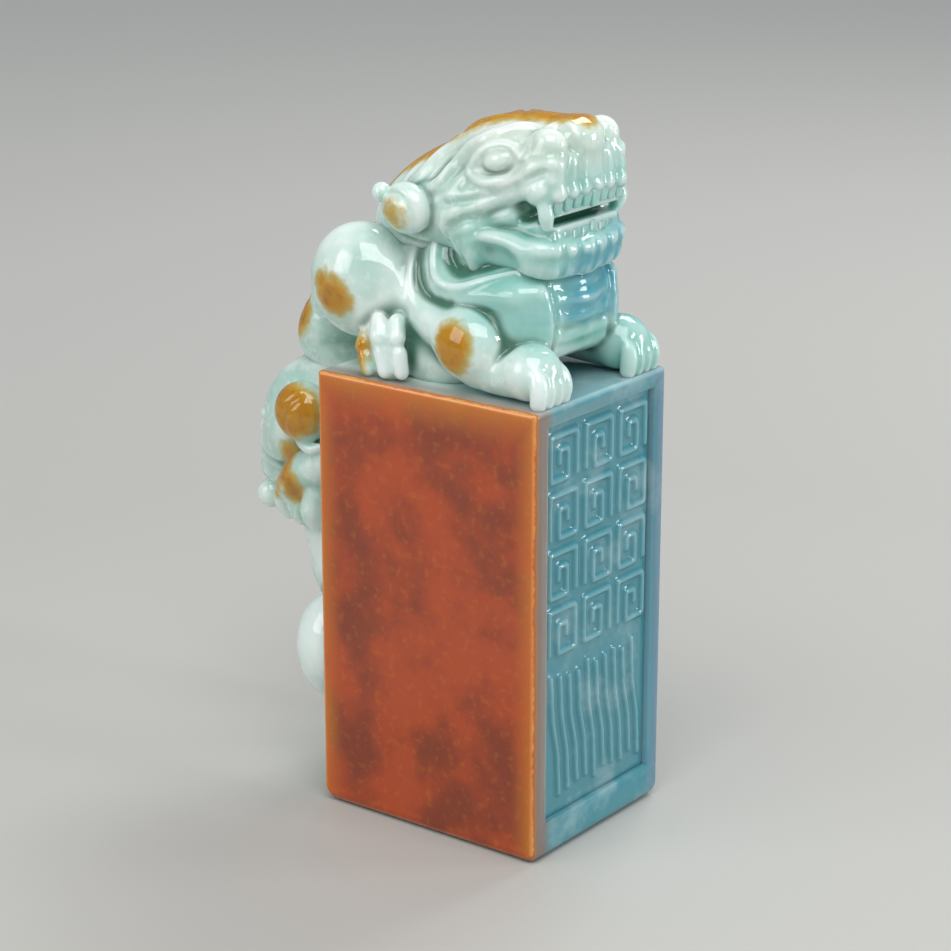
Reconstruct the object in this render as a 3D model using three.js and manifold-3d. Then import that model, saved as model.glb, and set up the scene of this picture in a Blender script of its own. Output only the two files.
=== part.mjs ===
// Seal stamp carved from one piece of jadeite: an upright block whose foot is the seal face,
// a crouching horned-lion beast as its knob, and the beast's cub climbing the block's back face.
//
// Millimetres, +Z up. The origin is the middle of the seal face, and +X is the way the beast looks.
// The real object is one stone. Each region of the carving is a solid of its own here, divided
// from its neighbours along the carved creases, with a clearance in place of the crease.

import * as THREE from "three";
import { RoundedBoxGeometry } from "three/addons/geometries/RoundedBoxGeometry.js";
import { mergeVertices } from "three/addons/utils/BufferGeometryUtils.js";
import Module from "manifold-3d";

// Block: length runs from the carved front face to the cub's face, width from side to side.
const BLOCK_LENGTH = 29;
const BLOCK_WIDTH = 24;
const BLOCK_HEIGHT = 50;
const BLOCK_ROUND = 1.3;

// Carved panel in the front face.
const PANEL_SIDE_BORDER = 2.2;
const PANEL_TOP_BORDER = 1.8;
const PANEL_FOOT_BORDER = 4.2;
const PANEL_DEPTH = 2;
const PANEL_GROUND = 1.35;
const STROKE_WIDTH = 0.9;
const STROKE_RISE = 0.5;
const FRET_COLUMNS = 3;
const FRET_ROWS = 4;
const FRET_HEIGHT = 5.6;
const STREAM_COUNT = 8;
const STREAM_LEAN = 1.6;

// Beast's body, measured from the block's top face.
const TRUNK_LENGTH = 24;
const TRUNK_WIDTH = 16.4;
const TRUNK_HEIGHT = 13.6;
const TRUNK_SEAT = 2.4;
const RUMP_RADIUS = 7.6;
const CHEST_WIDTH = 16.6;
const CHEST_DEPTH = 12.4;
const CHEST_HEIGHT = 10.8;
const CHEST_LIFT = 2.6;
const CHEST_FRONT = 12.2;
const SCUTE_COUNT = 4;
const SCUTE_WIDTH = 10.6;
const SCUTE_RISE = 0.7;
const SCUTE_THICKNESS = 2.6;
const SCUTE_MARGIN = 1.2;
const COLLAR_THICKNESS = 2.2;

// Beast's head.
const HEAD_X = -3;
const HEAD_Z = 18.3;
const HEAD_LENGTH = 24.8;
const HEAD_WIDTH = 14.8;
const HEAD_DEPTH = 12.8;
const HEAD_TILT = 25;
const MUZZLE_LENGTH = 11;
const MUZZLE_WIDTH = 14.4;
const MUZZLE_HEIGHT = 6.8;
const MUZZLE_FRONT = 12.8;
const MOUTH_ROOF = 20.6;
const MOUTH_FLOOR = 16.2;
const JAW_HEIGHT = 4.4;
const LIP_RADIUS = 1.2;
const TOOTH_WIDTH = 1.7;
const TOOTH_THICKNESS = 1.5;
const UPPER_TOOTH = 1.5;
const LOWER_TOOTH = 1.8;
const FANG_RADIUS = 1.2;
const NOSE_RADIUS = 2.2;
const NOSTRIL_SPREAD = 4.2;
const EYE_LENGTH = 4.4;
const EYE_HEIGHT = 3.2;
const BROW_THICKNESS = 1.5;
const EAR_LENGTH = 6;
const EAR_WIDTH = 4.6;

// Beast's limbs and tail.
const ELBOW_RADIUS = 4;
const FOREARM_THICKNESS = 4.6;
const FOREPAW_RADIUS = 3;
const TOE_THICKNESS = 1.9;
const HAUNCH_LENGTH = 12.4;
const HAUNCH_HEIGHT = 12.6;
const HAUNCH_WIDTH = 9.6;
const HIND_TOE_THICKNESS = 1.9;
const TAIL_THICKNESS = 7.6;
const TAIL_ROOT_HEIGHT = 9.6;
const TAIL_REACH = 10.2;
const TAIL_DROP = 3;

// Cub, measured from the block's back face and down from its top face.
const CUB_HEAD_RADIUS = 7.9;
const CUB_HEAD_DROP = 9.7;
const CUB_HEAD_REACH = 8.1;
const CUB_HEAD_LENGTH = 16;
const CUB_MUZZLE_REACH = 3.9;
const CUB_MUZZLE_DROP = 3.4;
const CUB_MUZZLE_WIDTH = 11.2;
const CUB_NOSE_REACH = 8.3;
const CUB_NOSE_DROP = 2;
const CUB_NOSE_WIDTH = 4.8;
const CUB_JAW_REACH = 4.7;
const CUB_JAW_DROP = 6.4;
const CUB_JAW_WIDTH = 9.6;
const CUB_EAR_LENGTH = 8;
const CUB_EAR_WIDTH = 5.2;
const CUB_EAR_HEIGHT = 7;
const CUB_EAR_LIFT = 3.4;
const CUB_TRUNK_WIDTH = 14;
const CUB_TRUNK_LENGTH = 21;
const CUB_TRUNK_DEPTH = 6.2;
const CUB_ARM_THICKNESS = 5.8;
const CUB_TOE_THICKNESS = 2.5;
const CUB_TOE_LENGTH = 2.8;
const CUB_TOE_PITCH = 2.1;
const CUB_HAUNCH_LENGTH = 13.2;
const CUB_HAUNCH_WIDTH = 8.8;
const CUB_FOOT_THICKNESS = 4.4;
const CUB_TAIL_THICKNESS = 3.2;
const CUB_TAIL_LENGTH = 11.6;
const PEARL_RADIUS = 1.7;

// Clearance that stands for the crease between two regions of the stone.
const CREASE = 0.3;

// Colours of the stone.
const CELADON = 0xb4cfc2;
const BLUE_GREEN = 0x6aa3ad;
const AMBER_SKIN = 0xa84a12;
const AMBER_SPOT = 0xc98a3c;

const wasm = await Module();
wasm.setup();

// Turns a closed geometry into a solid for cutting.
function toSolid(geometry) {
  const bare = geometry.index ? geometry.toNonIndexed() : geometry.clone();
  bare.deleteAttribute("normal");
  bare.deleteAttribute("uv");
  const merged = mergeVertices(bare, 1e-4);
  return new wasm.Manifold(new wasm.Mesh({
    numProp: 3,
    vertProperties: new Float32Array(merged.attributes.position.array),
    triVerts: new Uint32Array(merged.index.array),
  }));
}

// A form is a function of how much it grows: the grown form cuts a neighbour with a clearance.

// Ellipsoid with its front end raised by a lean in degrees.
function ball(at, radii, lean = 0, segments = 12) {
  return (grow) => {
    const geometry = new THREE.SphereGeometry(1, segments, Math.round(segments * 0.6));
    geometry.scale(...radii.map((radius) => radius + grow));
    geometry.rotateY(THREE.MathUtils.degToRad(-lean));
    geometry.translate(...at);
    return toSolid(geometry);
  };
}

// Rounded box given by its middle and full sizes, with its front end raised by a lean.
function slab(at, size, round, lean = 0, segments = 1) {
  return (grow) => {
    const grown = size.map((side) => side + 2 * grow);
    const geometry = new RoundedBoxGeometry(...grown, segments, round + grow);
    geometry.rotateY(THREE.MathUtils.degToRad(-lean));
    geometry.translate(...at);
    return toSolid(geometry);
  };
}

// Round strand with domed ends through points that are [x, y, z, radius].
function strand(points, sides = 6) {
  return (grow) => {
    const steps = Math.ceil(1.5 * (points.length - 1));
    const curve = new THREE.CatmullRomCurve3(points.map(([x, y, z]) => new THREE.Vector3(x, y, z)));
    const girth = new THREE.CatmullRomCurve3(points.map((point) => new THREE.Vector3(point[3], 0, 0)));
    const frames = curve.computeFrenetFrames(steps, false);
    const rings = [];
    const along = (step, outward) => {
      const t = curve.getUtoTmapping(step / steps);
      const radius = girth.getPoint(t).x + grow;
      const centre = curve.getPoint(t).addScaledVector(curve.getTangent(t), outward * radius);
      return { centre, radius };
    };
    const addRing = (step, outward, share) => {
      const { centre, radius } = along(step, outward);
      rings.push({ centre, radius: radius * share, frame: step });
    };
    addRing(0, -0.8, 0.6);
    for (let step = 0; step <= steps; step += 1) {
      addRing(step, 0, 1);
    }
    addRing(steps, 0.8, 0.6);

    const positions = [];
    for (const ring of rings) {
      for (let side = 0; side < sides; side += 1) {
        const angle = (2 * Math.PI * side) / sides;
        const point = ring.centre.clone();
        point.addScaledVector(frames.normals[ring.frame], ring.radius * Math.cos(angle));
        point.addScaledVector(frames.binormals[ring.frame], ring.radius * Math.sin(angle));
        positions.push(point.x, point.y, point.z);
      }
    }
    const poles = [[0, -1], [steps, 1]].map(([step, outward]) => {
      const pole = along(step, outward).centre;
      positions.push(pole.x, pole.y, pole.z);
      return positions.length / 3 - 1;
    });

    const index = [];
    const last = rings.length - 1;
    for (let side = 0; side < sides; side += 1) {
      const next = (side + 1) % sides;
      for (let ring = 0; ring < last; ring += 1) {
        const a = ring * sides + side;
        const b = ring * sides + next;
        index.push(a, b, b + sides, a, b + sides, a + sides);
      }
      index.push(poles[0], next, side);
      index.push(poles[1], last * sides + side, last * sides + next);
    }
    const geometry = new THREE.BufferGeometry();
    geometry.setAttribute("position", new THREE.Float32BufferAttribute(positions, 3));
    geometry.setIndex(index);
    return toSolid(geometry);
  };
}

// Square bar given by its middle and full sizes.
function bar(at, size) {
  return (grow) => {
    const geometry = new THREE.BoxGeometry(...size.map((side) => side + 2 * grow));
    geometry.translate(...at);
    return toSolid(geometry);
  };
}

// Tooth that narrows to its tip: up for a tip over the root, down for one under it.
function tooth(at, thickness, width, length, up) {
  return (grow) => {
    const [root, tip] = [0.58, 0.42];
    const [top, foot] = up ? [tip, root] : [root, tip];
    const geometry = new THREE.CylinderGeometry(top, foot, 1, 5);
    geometry.rotateX(Math.PI / 2);
    geometry.scale(thickness + 2 * grow, width + 2 * grow, length + 2 * grow);
    geometry.translate(...at);
    return toSolid(geometry);
  };
}

// Joins the shapes of one region.
function join(shapes) {
  return (grow) => shapes.map((shape) => shape(grow)).reduce((whole, next) => whole.add(next));
}

// The same region on the other side of the beast's middle plane.
function mirrored(form) {
  return (grow) => form(grow).mirror([0, 1, 0]);
}

// Lifts a region from the block's top face, where the beast is measured from.
function onTop(form) {
  return (grow) => form(grow).translate([0, 0, BLOCK_HEIGHT]);
}

// Sets a region on the block's back face, where the cub is measured from.
function onBack(form) {
  return (grow) => form(grow).translate([-BLOCK_LENGTH / 2, 0, BLOCK_HEIGHT]);
}

// Box between two corners.
function boxBetween(low, high) {
  const size = high.map((value, axis) => value - low[axis]);
  const geometry = new THREE.BoxGeometry(...size);
  geometry.translate(...low.map((value, axis) => value + size[axis] / 2));
  return toSolid(geometry);
}

// Block with the sunken panel in its front face.
const panelFoot = PANEL_FOOT_BORDER;
const panelHead = BLOCK_HEIGHT - PANEL_TOP_BORDER;
const panelHalf = BLOCK_WIDTH / 2 - PANEL_SIDE_BORDER;
const panelFloor = BLOCK_LENGTH / 2 - PANEL_DEPTH;

function sealBlock() {
  const geometry = new RoundedBoxGeometry(BLOCK_LENGTH, BLOCK_WIDTH, BLOCK_HEIGHT, 2, BLOCK_ROUND);
  geometry.translate(0, 0, BLOCK_HEIGHT / 2);
  const pocket = boxBetween(
    [panelFloor, -panelHalf, panelFoot],
    [BLOCK_LENGTH, panelHalf, panelHead],
  );
  return toSolid(geometry).subtract(pocket);
}

// One upright or level bar of the relief, from corner to corner on the panel's ground.
function reliefBar(y0, z0, y1, z1) {
  const ground = panelFloor + PANEL_GROUND;
  return boxBetween([ground - CREASE, y0, z0], [ground + STROKE_RISE, y1, z1]);
}

// Squared hook of a fret: a frame open at one corner that turns in on itself.
function fretHook(y, z, width, height, side) {
  const half = width / 2;
  const s = STROKE_WIDTH;
  const inner = s * 2;
  const bars = [
    [-half, height - s, half, height],
    [half - s, 0, half, height],
    [-half + inner, 0, half, s],
    [-half + inner, 0, -half + inner + s, height - inner],
    [-half, inner, -half + s, height],
  ];
  return bars.map(([y0, z0, y1, z1]) => {
    const [low, high] = side > 0 ? [y0, y1] : [-y1, -y0];
    return reliefBar(y + low, z + z0, y + high, z + z1);
  });
}

// Falling stream: a slanting bar under the frets.
function stream(y, z, height) {
  const upright = reliefBar(-STROKE_WIDTH / 2, 0, STROKE_WIDTH / 2, height);
  const lean = THREE.MathUtils.radToDeg(Math.atan2(STREAM_LEAN, height));
  return upright.rotate([-lean, 0, 0]).translate([0, y, z]);
}

// Panel with rows of frets over falling streams, seated on the floor of the sunken panel.
function frontPanel() {
  const low = panelFoot + CREASE;
  const high = panelHead - CREASE;
  const half = panelHalf - CREASE;
  let panel = boxBetween([panelFloor, -half, low], [panelFloor + PANEL_GROUND, half, high]);
  const pitch = (2 * half) / FRET_COLUMNS;
  for (let row = 0; row < FRET_ROWS; row += 1) {
    const foot = high - STROKE_WIDTH - FRET_HEIGHT - row * (FRET_HEIGHT + STROKE_WIDTH);
    for (let column = 0; column < FRET_COLUMNS; column += 1) {
      const middle = -half + pitch * (column + 0.5);
      const side = (row + column) % 2 ? 1 : -1;
      for (const bar of fretHook(middle, foot, pitch - STROKE_WIDTH, FRET_HEIGHT, side)) {
        panel = panel.add(bar);
      }
    }
  }
  const streamHead = high - FRET_ROWS * (FRET_HEIGHT + STROKE_WIDTH) - 2 * STROKE_WIDTH;
  const streamHeight = streamHead - low - 3 * STROKE_WIDTH;
  const gap = (2 * half - STREAM_LEAN - 3 * STROKE_WIDTH) / (STREAM_COUNT - 1);
  for (let count = 0; count < STREAM_COUNT; count += 1) {
    const middle = -half + 1.5 * STROKE_WIDTH + gap * count;
    const shorter = count % 2 ? 3 * STROKE_WIDTH : 0;
    panel = panel.add(stream(middle, low + STROKE_WIDTH + shorter / 2, streamHeight - shorter));
  }
  return panel;
}

// Beast's body.
const trunk = join([
  ball(
    [-3, 0, (TRUNK_HEIGHT - TRUNK_SEAT) / 2],
    [TRUNK_LENGTH / 2, TRUNK_WIDTH / 2, (TRUNK_HEIGHT + TRUNK_SEAT) / 2],
    0,
    16,
  ),
  ball([-TRUNK_LENGTH / 2 + 0.5, 0, RUMP_RADIUS + 0.6], [8, RUMP_RADIUS, 6.6], 0, 14),
  ball([0, 0, TRUNK_HEIGHT - 0.6], [9.5, TRUNK_WIDTH / 2 - 1.7, 4.5], 0, 12),
]);

const chestMiddle = CHEST_LIFT + CHEST_HEIGHT / 2;
const chest = slab(
  [CHEST_FRONT - CHEST_DEPTH / 2, 0, chestMiddle],
  [CHEST_DEPTH, CHEST_WIDTH, CHEST_HEIGHT],
  CHEST_HEIGHT * 0.38,
);

// Level plates up the middle of the chest.
const scutePitch = (CHEST_HEIGHT - 2 * SCUTE_MARGIN) / SCUTE_COUNT;
const scuteX = CHEST_FRONT + SCUTE_RISE - SCUTE_THICKNESS / 2;
const bellyScutes = join(Array.from({ length: SCUTE_COUNT }, (_, row) => slab(
  [scuteX, 0, CHEST_LIFT + SCUTE_MARGIN + scutePitch * (row + 0.5)],
  [SCUTE_THICKNESS, SCUTE_WIDTH, scutePitch + CREASE],
  scutePitch * 0.42,
)));

// Two folds of the mane that run from under the ear to the front of the chest.
const collar = join([
  strand([
    [-5.2, 7.2, 15.4, COLLAR_THICKNESS / 2],
    [-5.1, 8.2, 12.6, COLLAR_THICKNESS / 2],
    [-3.6, 8.6, 10.3, COLLAR_THICKNESS / 2],
    [1.6, 8.6, 9.3, COLLAR_THICKNESS * 0.35],
  ]),
  strand([
    [-3.4, 7, 15.4, COLLAR_THICKNESS / 2],
    [-1.9, 8.1, 12.7, COLLAR_THICKNESS / 2],
    [1.4, 8.5, 10.9, COLLAR_THICKNESS / 2],
    [5, 8.4, 11.9, COLLAR_THICKNESS / 2],
    [9, 7.9, 12.9, COLLAR_THICKNESS * 0.4],
  ]),
]);

// Beast's head: skull, cheeks and muzzle over an open mouth.
const muzzleMiddle = MUZZLE_FRONT - MUZZLE_LENGTH / 2;
const muzzleTop = MOUTH_ROOF + MUZZLE_HEIGHT;
const muzzleSide = MUZZLE_WIDTH / 2;
const skull = [
  ball([HEAD_X, 0, HEAD_Z], [HEAD_LENGTH / 2, HEAD_WIDTH / 2, HEAD_DEPTH / 2], HEAD_TILT, 16),
  ball([HEAD_X + 7, 0, HEAD_Z + 5.6], [6.2, HEAD_WIDTH / 2 - 1.2, 3.8], HEAD_TILT / 2, 12),
  ball([HEAD_X + 3.5, 0, HEAD_Z - 0.3], [7.5, HEAD_WIDTH / 2 + 0.5, 5], HEAD_TILT, 12),
];
const muzzle = [
  slab(
    [muzzleMiddle, 0, (MOUTH_ROOF + muzzleTop) / 2],
    [MUZZLE_LENGTH, MUZZLE_WIDTH, MUZZLE_HEIGHT],
    MUZZLE_HEIGHT * 0.36,
    4,
  ),
];

// Lip that runs round the mouth at a height, from one cheek to the other.
function lip(height, front, side, rise) {
  const corner = side - 0.6;
  return strand([
    [front - 11, side, height + rise, LIP_RADIUS * 0.7],
    [front - 5, side + 0.2, height, LIP_RADIUS],
    [front - 0.9, corner, height + 0.2, LIP_RADIUS],
    [front + 0.2, side * 0.4, height + 0.2, LIP_RADIUS],
    [front + 0.2, -side * 0.4, height + 0.2, LIP_RADIUS],
    [front - 0.9, -corner, height + 0.2, LIP_RADIUS],
    [front - 5, -side - 0.2, height, LIP_RADIUS],
    [front - 11, -side, height + rise, LIP_RADIUS * 0.7],
  ], 6);
}

const upperLip = lip(MOUTH_ROOF + 1.2, MUZZLE_FRONT - 0.5, muzzleSide, -1.8);
const lowerLip = lip(MOUTH_FLOOR - 1.1, MUZZLE_FRONT - 0.9, muzzleSide, 1);
const head = join([...skull, ...muzzle, upperLip]);
const mouth = slab(
  [MUZZLE_FRONT - 1.5, 0, (MOUTH_ROOF + MOUTH_FLOOR) / 2],
  [MUZZLE_LENGTH, HEAD_WIDTH + 6, MOUTH_ROOF - MOUTH_FLOOR],
  1,
);
const lowerJaw = join([
  slab(
    [muzzleMiddle - 0.8, 0, MOUTH_FLOOR - JAW_HEIGHT / 2],
    [MUZZLE_LENGTH + 2, MUZZLE_WIDTH - 0.4, JAW_HEIGHT],
    JAW_HEIGHT * 0.36,
    -1,
  ),
  lowerLip,
]);

// Row of teeth across the front of a jaw, rooted in it.
function teethRow(rootHeight, length, up) {
  const front = MUZZLE_FRONT - TOOTH_THICKNESS / 2 - 0.5;
  const side = muzzleSide - TOOTH_THICKNESS / 2 - 0.3;
  const count = Math.floor((2 * side) / TOOTH_WIDTH);
  const pitch = (2 * side) / count;
  const root = 1.2;
  const middle = rootHeight + ((up ? 1 : -1) * (length - root)) / 2;
  const teeth = Array.from({ length: count }, (_, place) => tooth(
    [front, -side + pitch * (place + 0.5), middle],
    TOOTH_THICKNESS,
    pitch,
    length + root,
    up,
  ));
  const gumHeight = rootHeight - ((up ? 1 : -1) * root) / 4;
  return [bar([front - 0.3, 0, gumHeight], [TOOTH_THICKNESS, 2 * side, root]), ...teeth];
}

const fangX = MUZZLE_FRONT - FANG_RADIUS - 0.6;
const fangY = muzzleSide - FANG_RADIUS - 0.2;
const fang = strand([
  [fangX, fangY, MOUTH_ROOF + 0.4, FANG_RADIUS],
  [fangX, fangY + 0.1, MOUTH_ROOF - 1, FANG_RADIUS],
  [fangX - 0.2, fangY, MOUTH_ROOF - 2.4, FANG_RADIUS * 0.8],
]);
const upperTeeth = join([...teethRow(MOUTH_ROOF, UPPER_TOOTH, false), fang, mirrored(fang)]);
const tongue = slab(
  [MUZZLE_FRONT - 5.4, 0, (MOUTH_FLOOR + MOUTH_ROOF) / 2],
  [6.4, MUZZLE_WIDTH - 4.4, MOUTH_ROOF - MOUTH_FLOOR - 0.8],
  1.2,
);
const lowerTeeth = join(teethRow(MOUTH_FLOOR, LOWER_TOOTH, true));

// Three-lobed nose on the front of the muzzle.
const noseHeight = muzzleTop - 0.4;
const nostril = ball(
  [MUZZLE_FRONT - 1.9, NOSTRIL_SPREAD, noseHeight],
  [NOSE_RADIUS + 0.1, NOSE_RADIUS, NOSE_RADIUS],
  0,
  10,
);
const nose = join([
  ball([MUZZLE_FRONT - 1.4, 0, noseHeight + 0.1], [NOSE_RADIUS, NOSE_RADIUS + 0.4, NOSE_RADIUS], 0, 10),
  nostril,
  mirrored(nostril),
]);

const eyeX = HEAD_X + 8.4;
const eyeY = HEAD_WIDTH / 2 - 1.2;
const eyeZ = HEAD_Z + 5.9;
const eye = ball([eyeX, eyeY, eyeZ], [EYE_LENGTH / 2, 1.9, EYE_HEIGHT / 2], 15, 10);

// Brow: a rounded strand that arches over the eye and runs back along the skull.
const brow = strand([
  [eyeX + 4.2, eyeY - 0.8, eyeZ + 2, BROW_THICKNESS * 0.5],
  [eyeX + 1.6, eyeY - 0.2, eyeZ + 3.1, BROW_THICKNESS * 0.6],
  [eyeX - 2.2, eyeY + 0.3, eyeZ + 1.9, BROW_THICKNESS * 0.6],
  [eyeX - 6.2, eyeY + 0.4, eyeZ - 0.8, BROW_THICKNESS * 0.5],
  [eyeX - 9.2, eyeY + 0.4, eyeZ - 3.4, BROW_THICKNESS * 0.4],
]);

// Ear: a curled leaf with a small knob at its back.
const earX = HEAD_X - 1.6;
const earY = HEAD_WIDTH / 2 + 0.6;
const ear = join([
  ball([earX, earY, HEAD_Z], [EAR_WIDTH / 2 + 0.5, 2.1, EAR_LENGTH / 2], 25, 10),
  ball([earX - 2.9, earY - 0.4, HEAD_Z + 0.7], [1.9, 1.5, 1.4], 20, 8),
]);

// Foreleg: upper arm, elbow, forearm and paw with four toes.
const elbow = [3.6, CHEST_WIDTH / 2 + 0.1, ELBOW_RADIUS + 0.9];
const forepaw = [MUZZLE_FRONT - 1.2, elbow[1] - 0.1, FOREPAW_RADIUS - 0.2];
const toeRadius = TOE_THICKNESS / 2;
const toeTipX = forepaw[0] + FOREPAW_RADIUS - 0.7;
const foreToes = [-1.5, -0.5, 0.5, 1.5].map((place) => strand([
  [forepaw[0], forepaw[1] + place * TOE_THICKNESS * 0.7, forepaw[2] + 1.5, toeRadius],
  [toeTipX - 0.3, forepaw[1] + place * TOE_THICKNESS * 0.8, forepaw[2] + 0.4, toeRadius],
  [toeTipX, forepaw[1] + place * TOE_THICKNESS * 0.85, toeRadius * 0.7, toeRadius],
], 5));
const foreleg = join([
  ball(elbow, [ELBOW_RADIUS + 0.3, ELBOW_RADIUS - 0.6, ELBOW_RADIUS], -20, 12),
  strand([
    [-6.2, elbow[1] - 2.2, 10.8, 2],
    [-4.2, elbow[1] - 1, 8, 2.3],
    [0.4, elbow[1], 6.6, 2.6],
  ]),
  strand([
    [elbow[0] + 1, elbow[1] + 0.1, FOREARM_THICKNESS / 2, FOREARM_THICKNESS / 2 - 0.2],
    [elbow[0] + 4.4, elbow[1] + 0.1, FOREARM_THICKNESS / 2, FOREARM_THICKNESS / 2],
    forepaw.concat(FOREARM_THICKNESS / 2 + 0.3),
  ]),
  ball(forepaw, [FOREPAW_RADIUS, FOREPAW_RADIUS + 0.1, FOREPAW_RADIUS - 0.3], 0, 10),
  ...foreToes,
]);

// Haunch and hind foot with three toes.
const haunchX = -TRUNK_LENGTH / 2 - 0.4;
const haunchY = TRUNK_WIDTH / 2 - 1.8;
const haunch = ball(
  [haunchX, haunchY, HAUNCH_HEIGHT / 2 + 2.9],
  [HAUNCH_LENGTH / 2, HAUNCH_WIDTH / 2, HAUNCH_HEIGHT / 2],
  15,
  14,
);
const hindX = haunchX + 6.4;
const hindY = haunchY + 3.5;
const hindToe = HIND_TOE_THICKNESS / 2;
const hindToes = [-1, 0, 1].map((place) => strand([
  [hindX + place * 1.65 + 0.2, hindY - 0.2, 5.4, hindToe * 0.95],
  [hindX + place * 1.65, hindY + 0.9, 3.9, hindToe * 1.05],
  [hindX + place * 1.65 - 0.1, hindY + 1, hindToe * 0.7, hindToe * 0.9],
], 5));
const hindFoot = join([
  strand([
    [hindX - 1.2, hindY - 1.4, 5.6, 2.1],
    [hindX - 0.2, hindY - 0.3, 4.2, 2],
    [hindX, hindY - 0.2, 1.6, 1.9],
  ]),
  ...hindToes,
]);

// Tail that hangs over the block's back edge in two lobes.
const tailRadius = TAIL_THICKNESS / 2;
const tailEnd = -TRUNK_LENGTH / 2 - TAIL_REACH;
const tail = join([
  strand([
    [-TRUNK_LENGTH / 2 - 2, 0, TAIL_ROOT_HEIGHT, tailRadius + 0.8],
    [tailEnd + 3.6, 0, TAIL_ROOT_HEIGHT - 1.6, tailRadius + 0.6],
    [tailEnd + 0.8, 0, TAIL_ROOT_HEIGHT / 2 - 0.2, tailRadius],
  ], 9),
  strand([
    [tailEnd + 0.4, 0, 3.2 - CREASE, tailRadius - 0.4],
    [tailEnd, 0, 0, tailRadius - 0.6],
    [tailEnd + 2.2, 0, -TAIL_DROP, tailRadius - 1.2],
  ], 9),
]);

// Cub's head, seen from above, looks away from the block.
const cubHeadX = -CUB_HEAD_REACH;
const cubHead = join([
  ball(
    [cubHeadX, 0, -CUB_HEAD_DROP],
    [CUB_HEAD_LENGTH / 2, CUB_HEAD_RADIUS - 0.1, CUB_HEAD_RADIUS],
    0,
    16,
  ),
  ball(
    [cubHeadX - CUB_MUZZLE_REACH, 0, -CUB_HEAD_DROP - CUB_MUZZLE_DROP],
    [5, CUB_MUZZLE_WIDTH / 2, 4.2],
  ),
  ball(
    [cubHeadX - CUB_NOSE_REACH, 0, -CUB_HEAD_DROP - CUB_NOSE_DROP],
    [1.7, CUB_NOSE_WIDTH / 2, 1.5],
    0,
    10,
  ),
]);
const cubJaw = ball(
  [cubHeadX - CUB_JAW_REACH, 0, -CUB_HEAD_DROP - CUB_JAW_DROP],
  [4.6, CUB_JAW_WIDTH / 2, 2.4],
);
const cubEar = ball(
  [-CUB_EAR_LENGTH / 2 - 0.4, CUB_HEAD_RADIUS + CUB_EAR_WIDTH / 4, -CUB_HEAD_DROP + CUB_EAR_LIFT],
  [CUB_EAR_LENGTH / 2, CUB_EAR_WIDTH / 2, CUB_EAR_HEIGHT / 2],
  -10,
);

// Cub's body on the block's back face.
const cubTrunkZ = -CUB_HEAD_DROP - CUB_TRUNK_LENGTH / 2 - 1.8;
const cubTrunk = ball(
  [-CUB_TRUNK_DEPTH + 2.7, 0, cubTrunkZ],
  [CUB_TRUNK_DEPTH, CUB_TRUNK_WIDTH / 2, CUB_TRUNK_LENGTH / 2],
  0,
  14,
);
const cubArmRadius = CUB_ARM_THICKNESS / 2;
const cubArmY = CUB_TRUNK_WIDTH / 2 + 0.4;
const cubArmZ = -CUB_HEAD_DROP - 5;
const cubToeX = -cubArmRadius * 2;
const cubToeTop = cubArmZ - 2;
const cubToes = [0, 1, 2].map((place) => strand([
  [cubToeX - place * CUB_TOE_PITCH, cubArmY - place * 0.8, cubToeTop, CUB_TOE_THICKNESS / 2 + 0.1],
  [
    cubToeX - 0.4 - place * (CUB_TOE_PITCH + 0.2),
    cubArmY - place * 0.7,
    cubToeTop - CUB_TOE_LENGTH,
    CUB_TOE_THICKNESS / 2,
  ],
], 5));
const cubForeleg = join([
  strand([
    [-2.6, cubArmY, cubArmZ + 2.4, cubArmRadius + 0.3],
    [-6, cubArmY + 0.1, cubArmZ - 0.4, cubArmRadius + 0.1],
    [-8.4, cubArmY - 0.7, cubArmZ - 2.6, cubArmRadius - 0.5],
  ], 8),
  ...cubToes,
]);
const pearl = ball(
  [cubHeadX - 6.8, -1.2, -CUB_HEAD_DROP - 9.4],
  [PEARL_RADIUS, PEARL_RADIUS, PEARL_RADIUS],
  0,
  10,
);
const cubHaunchZ = cubTrunkZ - CUB_TRUNK_LENGTH / 2 - 1.2;
const cubHaunchFoot = cubHaunchZ - CUB_HAUNCH_LENGTH / 2;
const cubHaunch = join([
  ball(
    [-2.7, CUB_TRUNK_WIDTH / 2, cubHaunchZ],
    [4.8, CUB_HAUNCH_WIDTH / 2, CUB_HAUNCH_LENGTH / 2],
    0,
    14,
  ),
  strand([
    [-2.2, CUB_TRUNK_WIDTH / 2 - 0.6, cubHaunchFoot + 1, CUB_FOOT_THICKNESS / 2],
    [-3.2, CUB_TRUNK_WIDTH / 2 + 0.2, cubHaunchFoot - 1.6, CUB_FOOT_THICKNESS / 2 - 0.4],
  ]),
]);
const cubTailRadius = CUB_TAIL_THICKNESS / 2;
const cubTailX = -CUB_TRUNK_DEPTH + 0.8;
const cubTail = strand([
  [cubTailX + 0.8, 0, cubHaunchZ + 4, cubTailRadius + 0.6],
  [cubTailX, 0, cubHaunchZ, cubTailRadius + 0.4],
  [cubTailX + 1.6, 0.6, cubHaunchZ + 7.2 - CUB_TAIL_LENGTH, cubTailRadius],
  [cubTailX + 2.8, 1.6, cubHaunchZ + 4 - CUB_TAIL_LENGTH, cubTailRadius * 0.7],
], 8);

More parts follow.
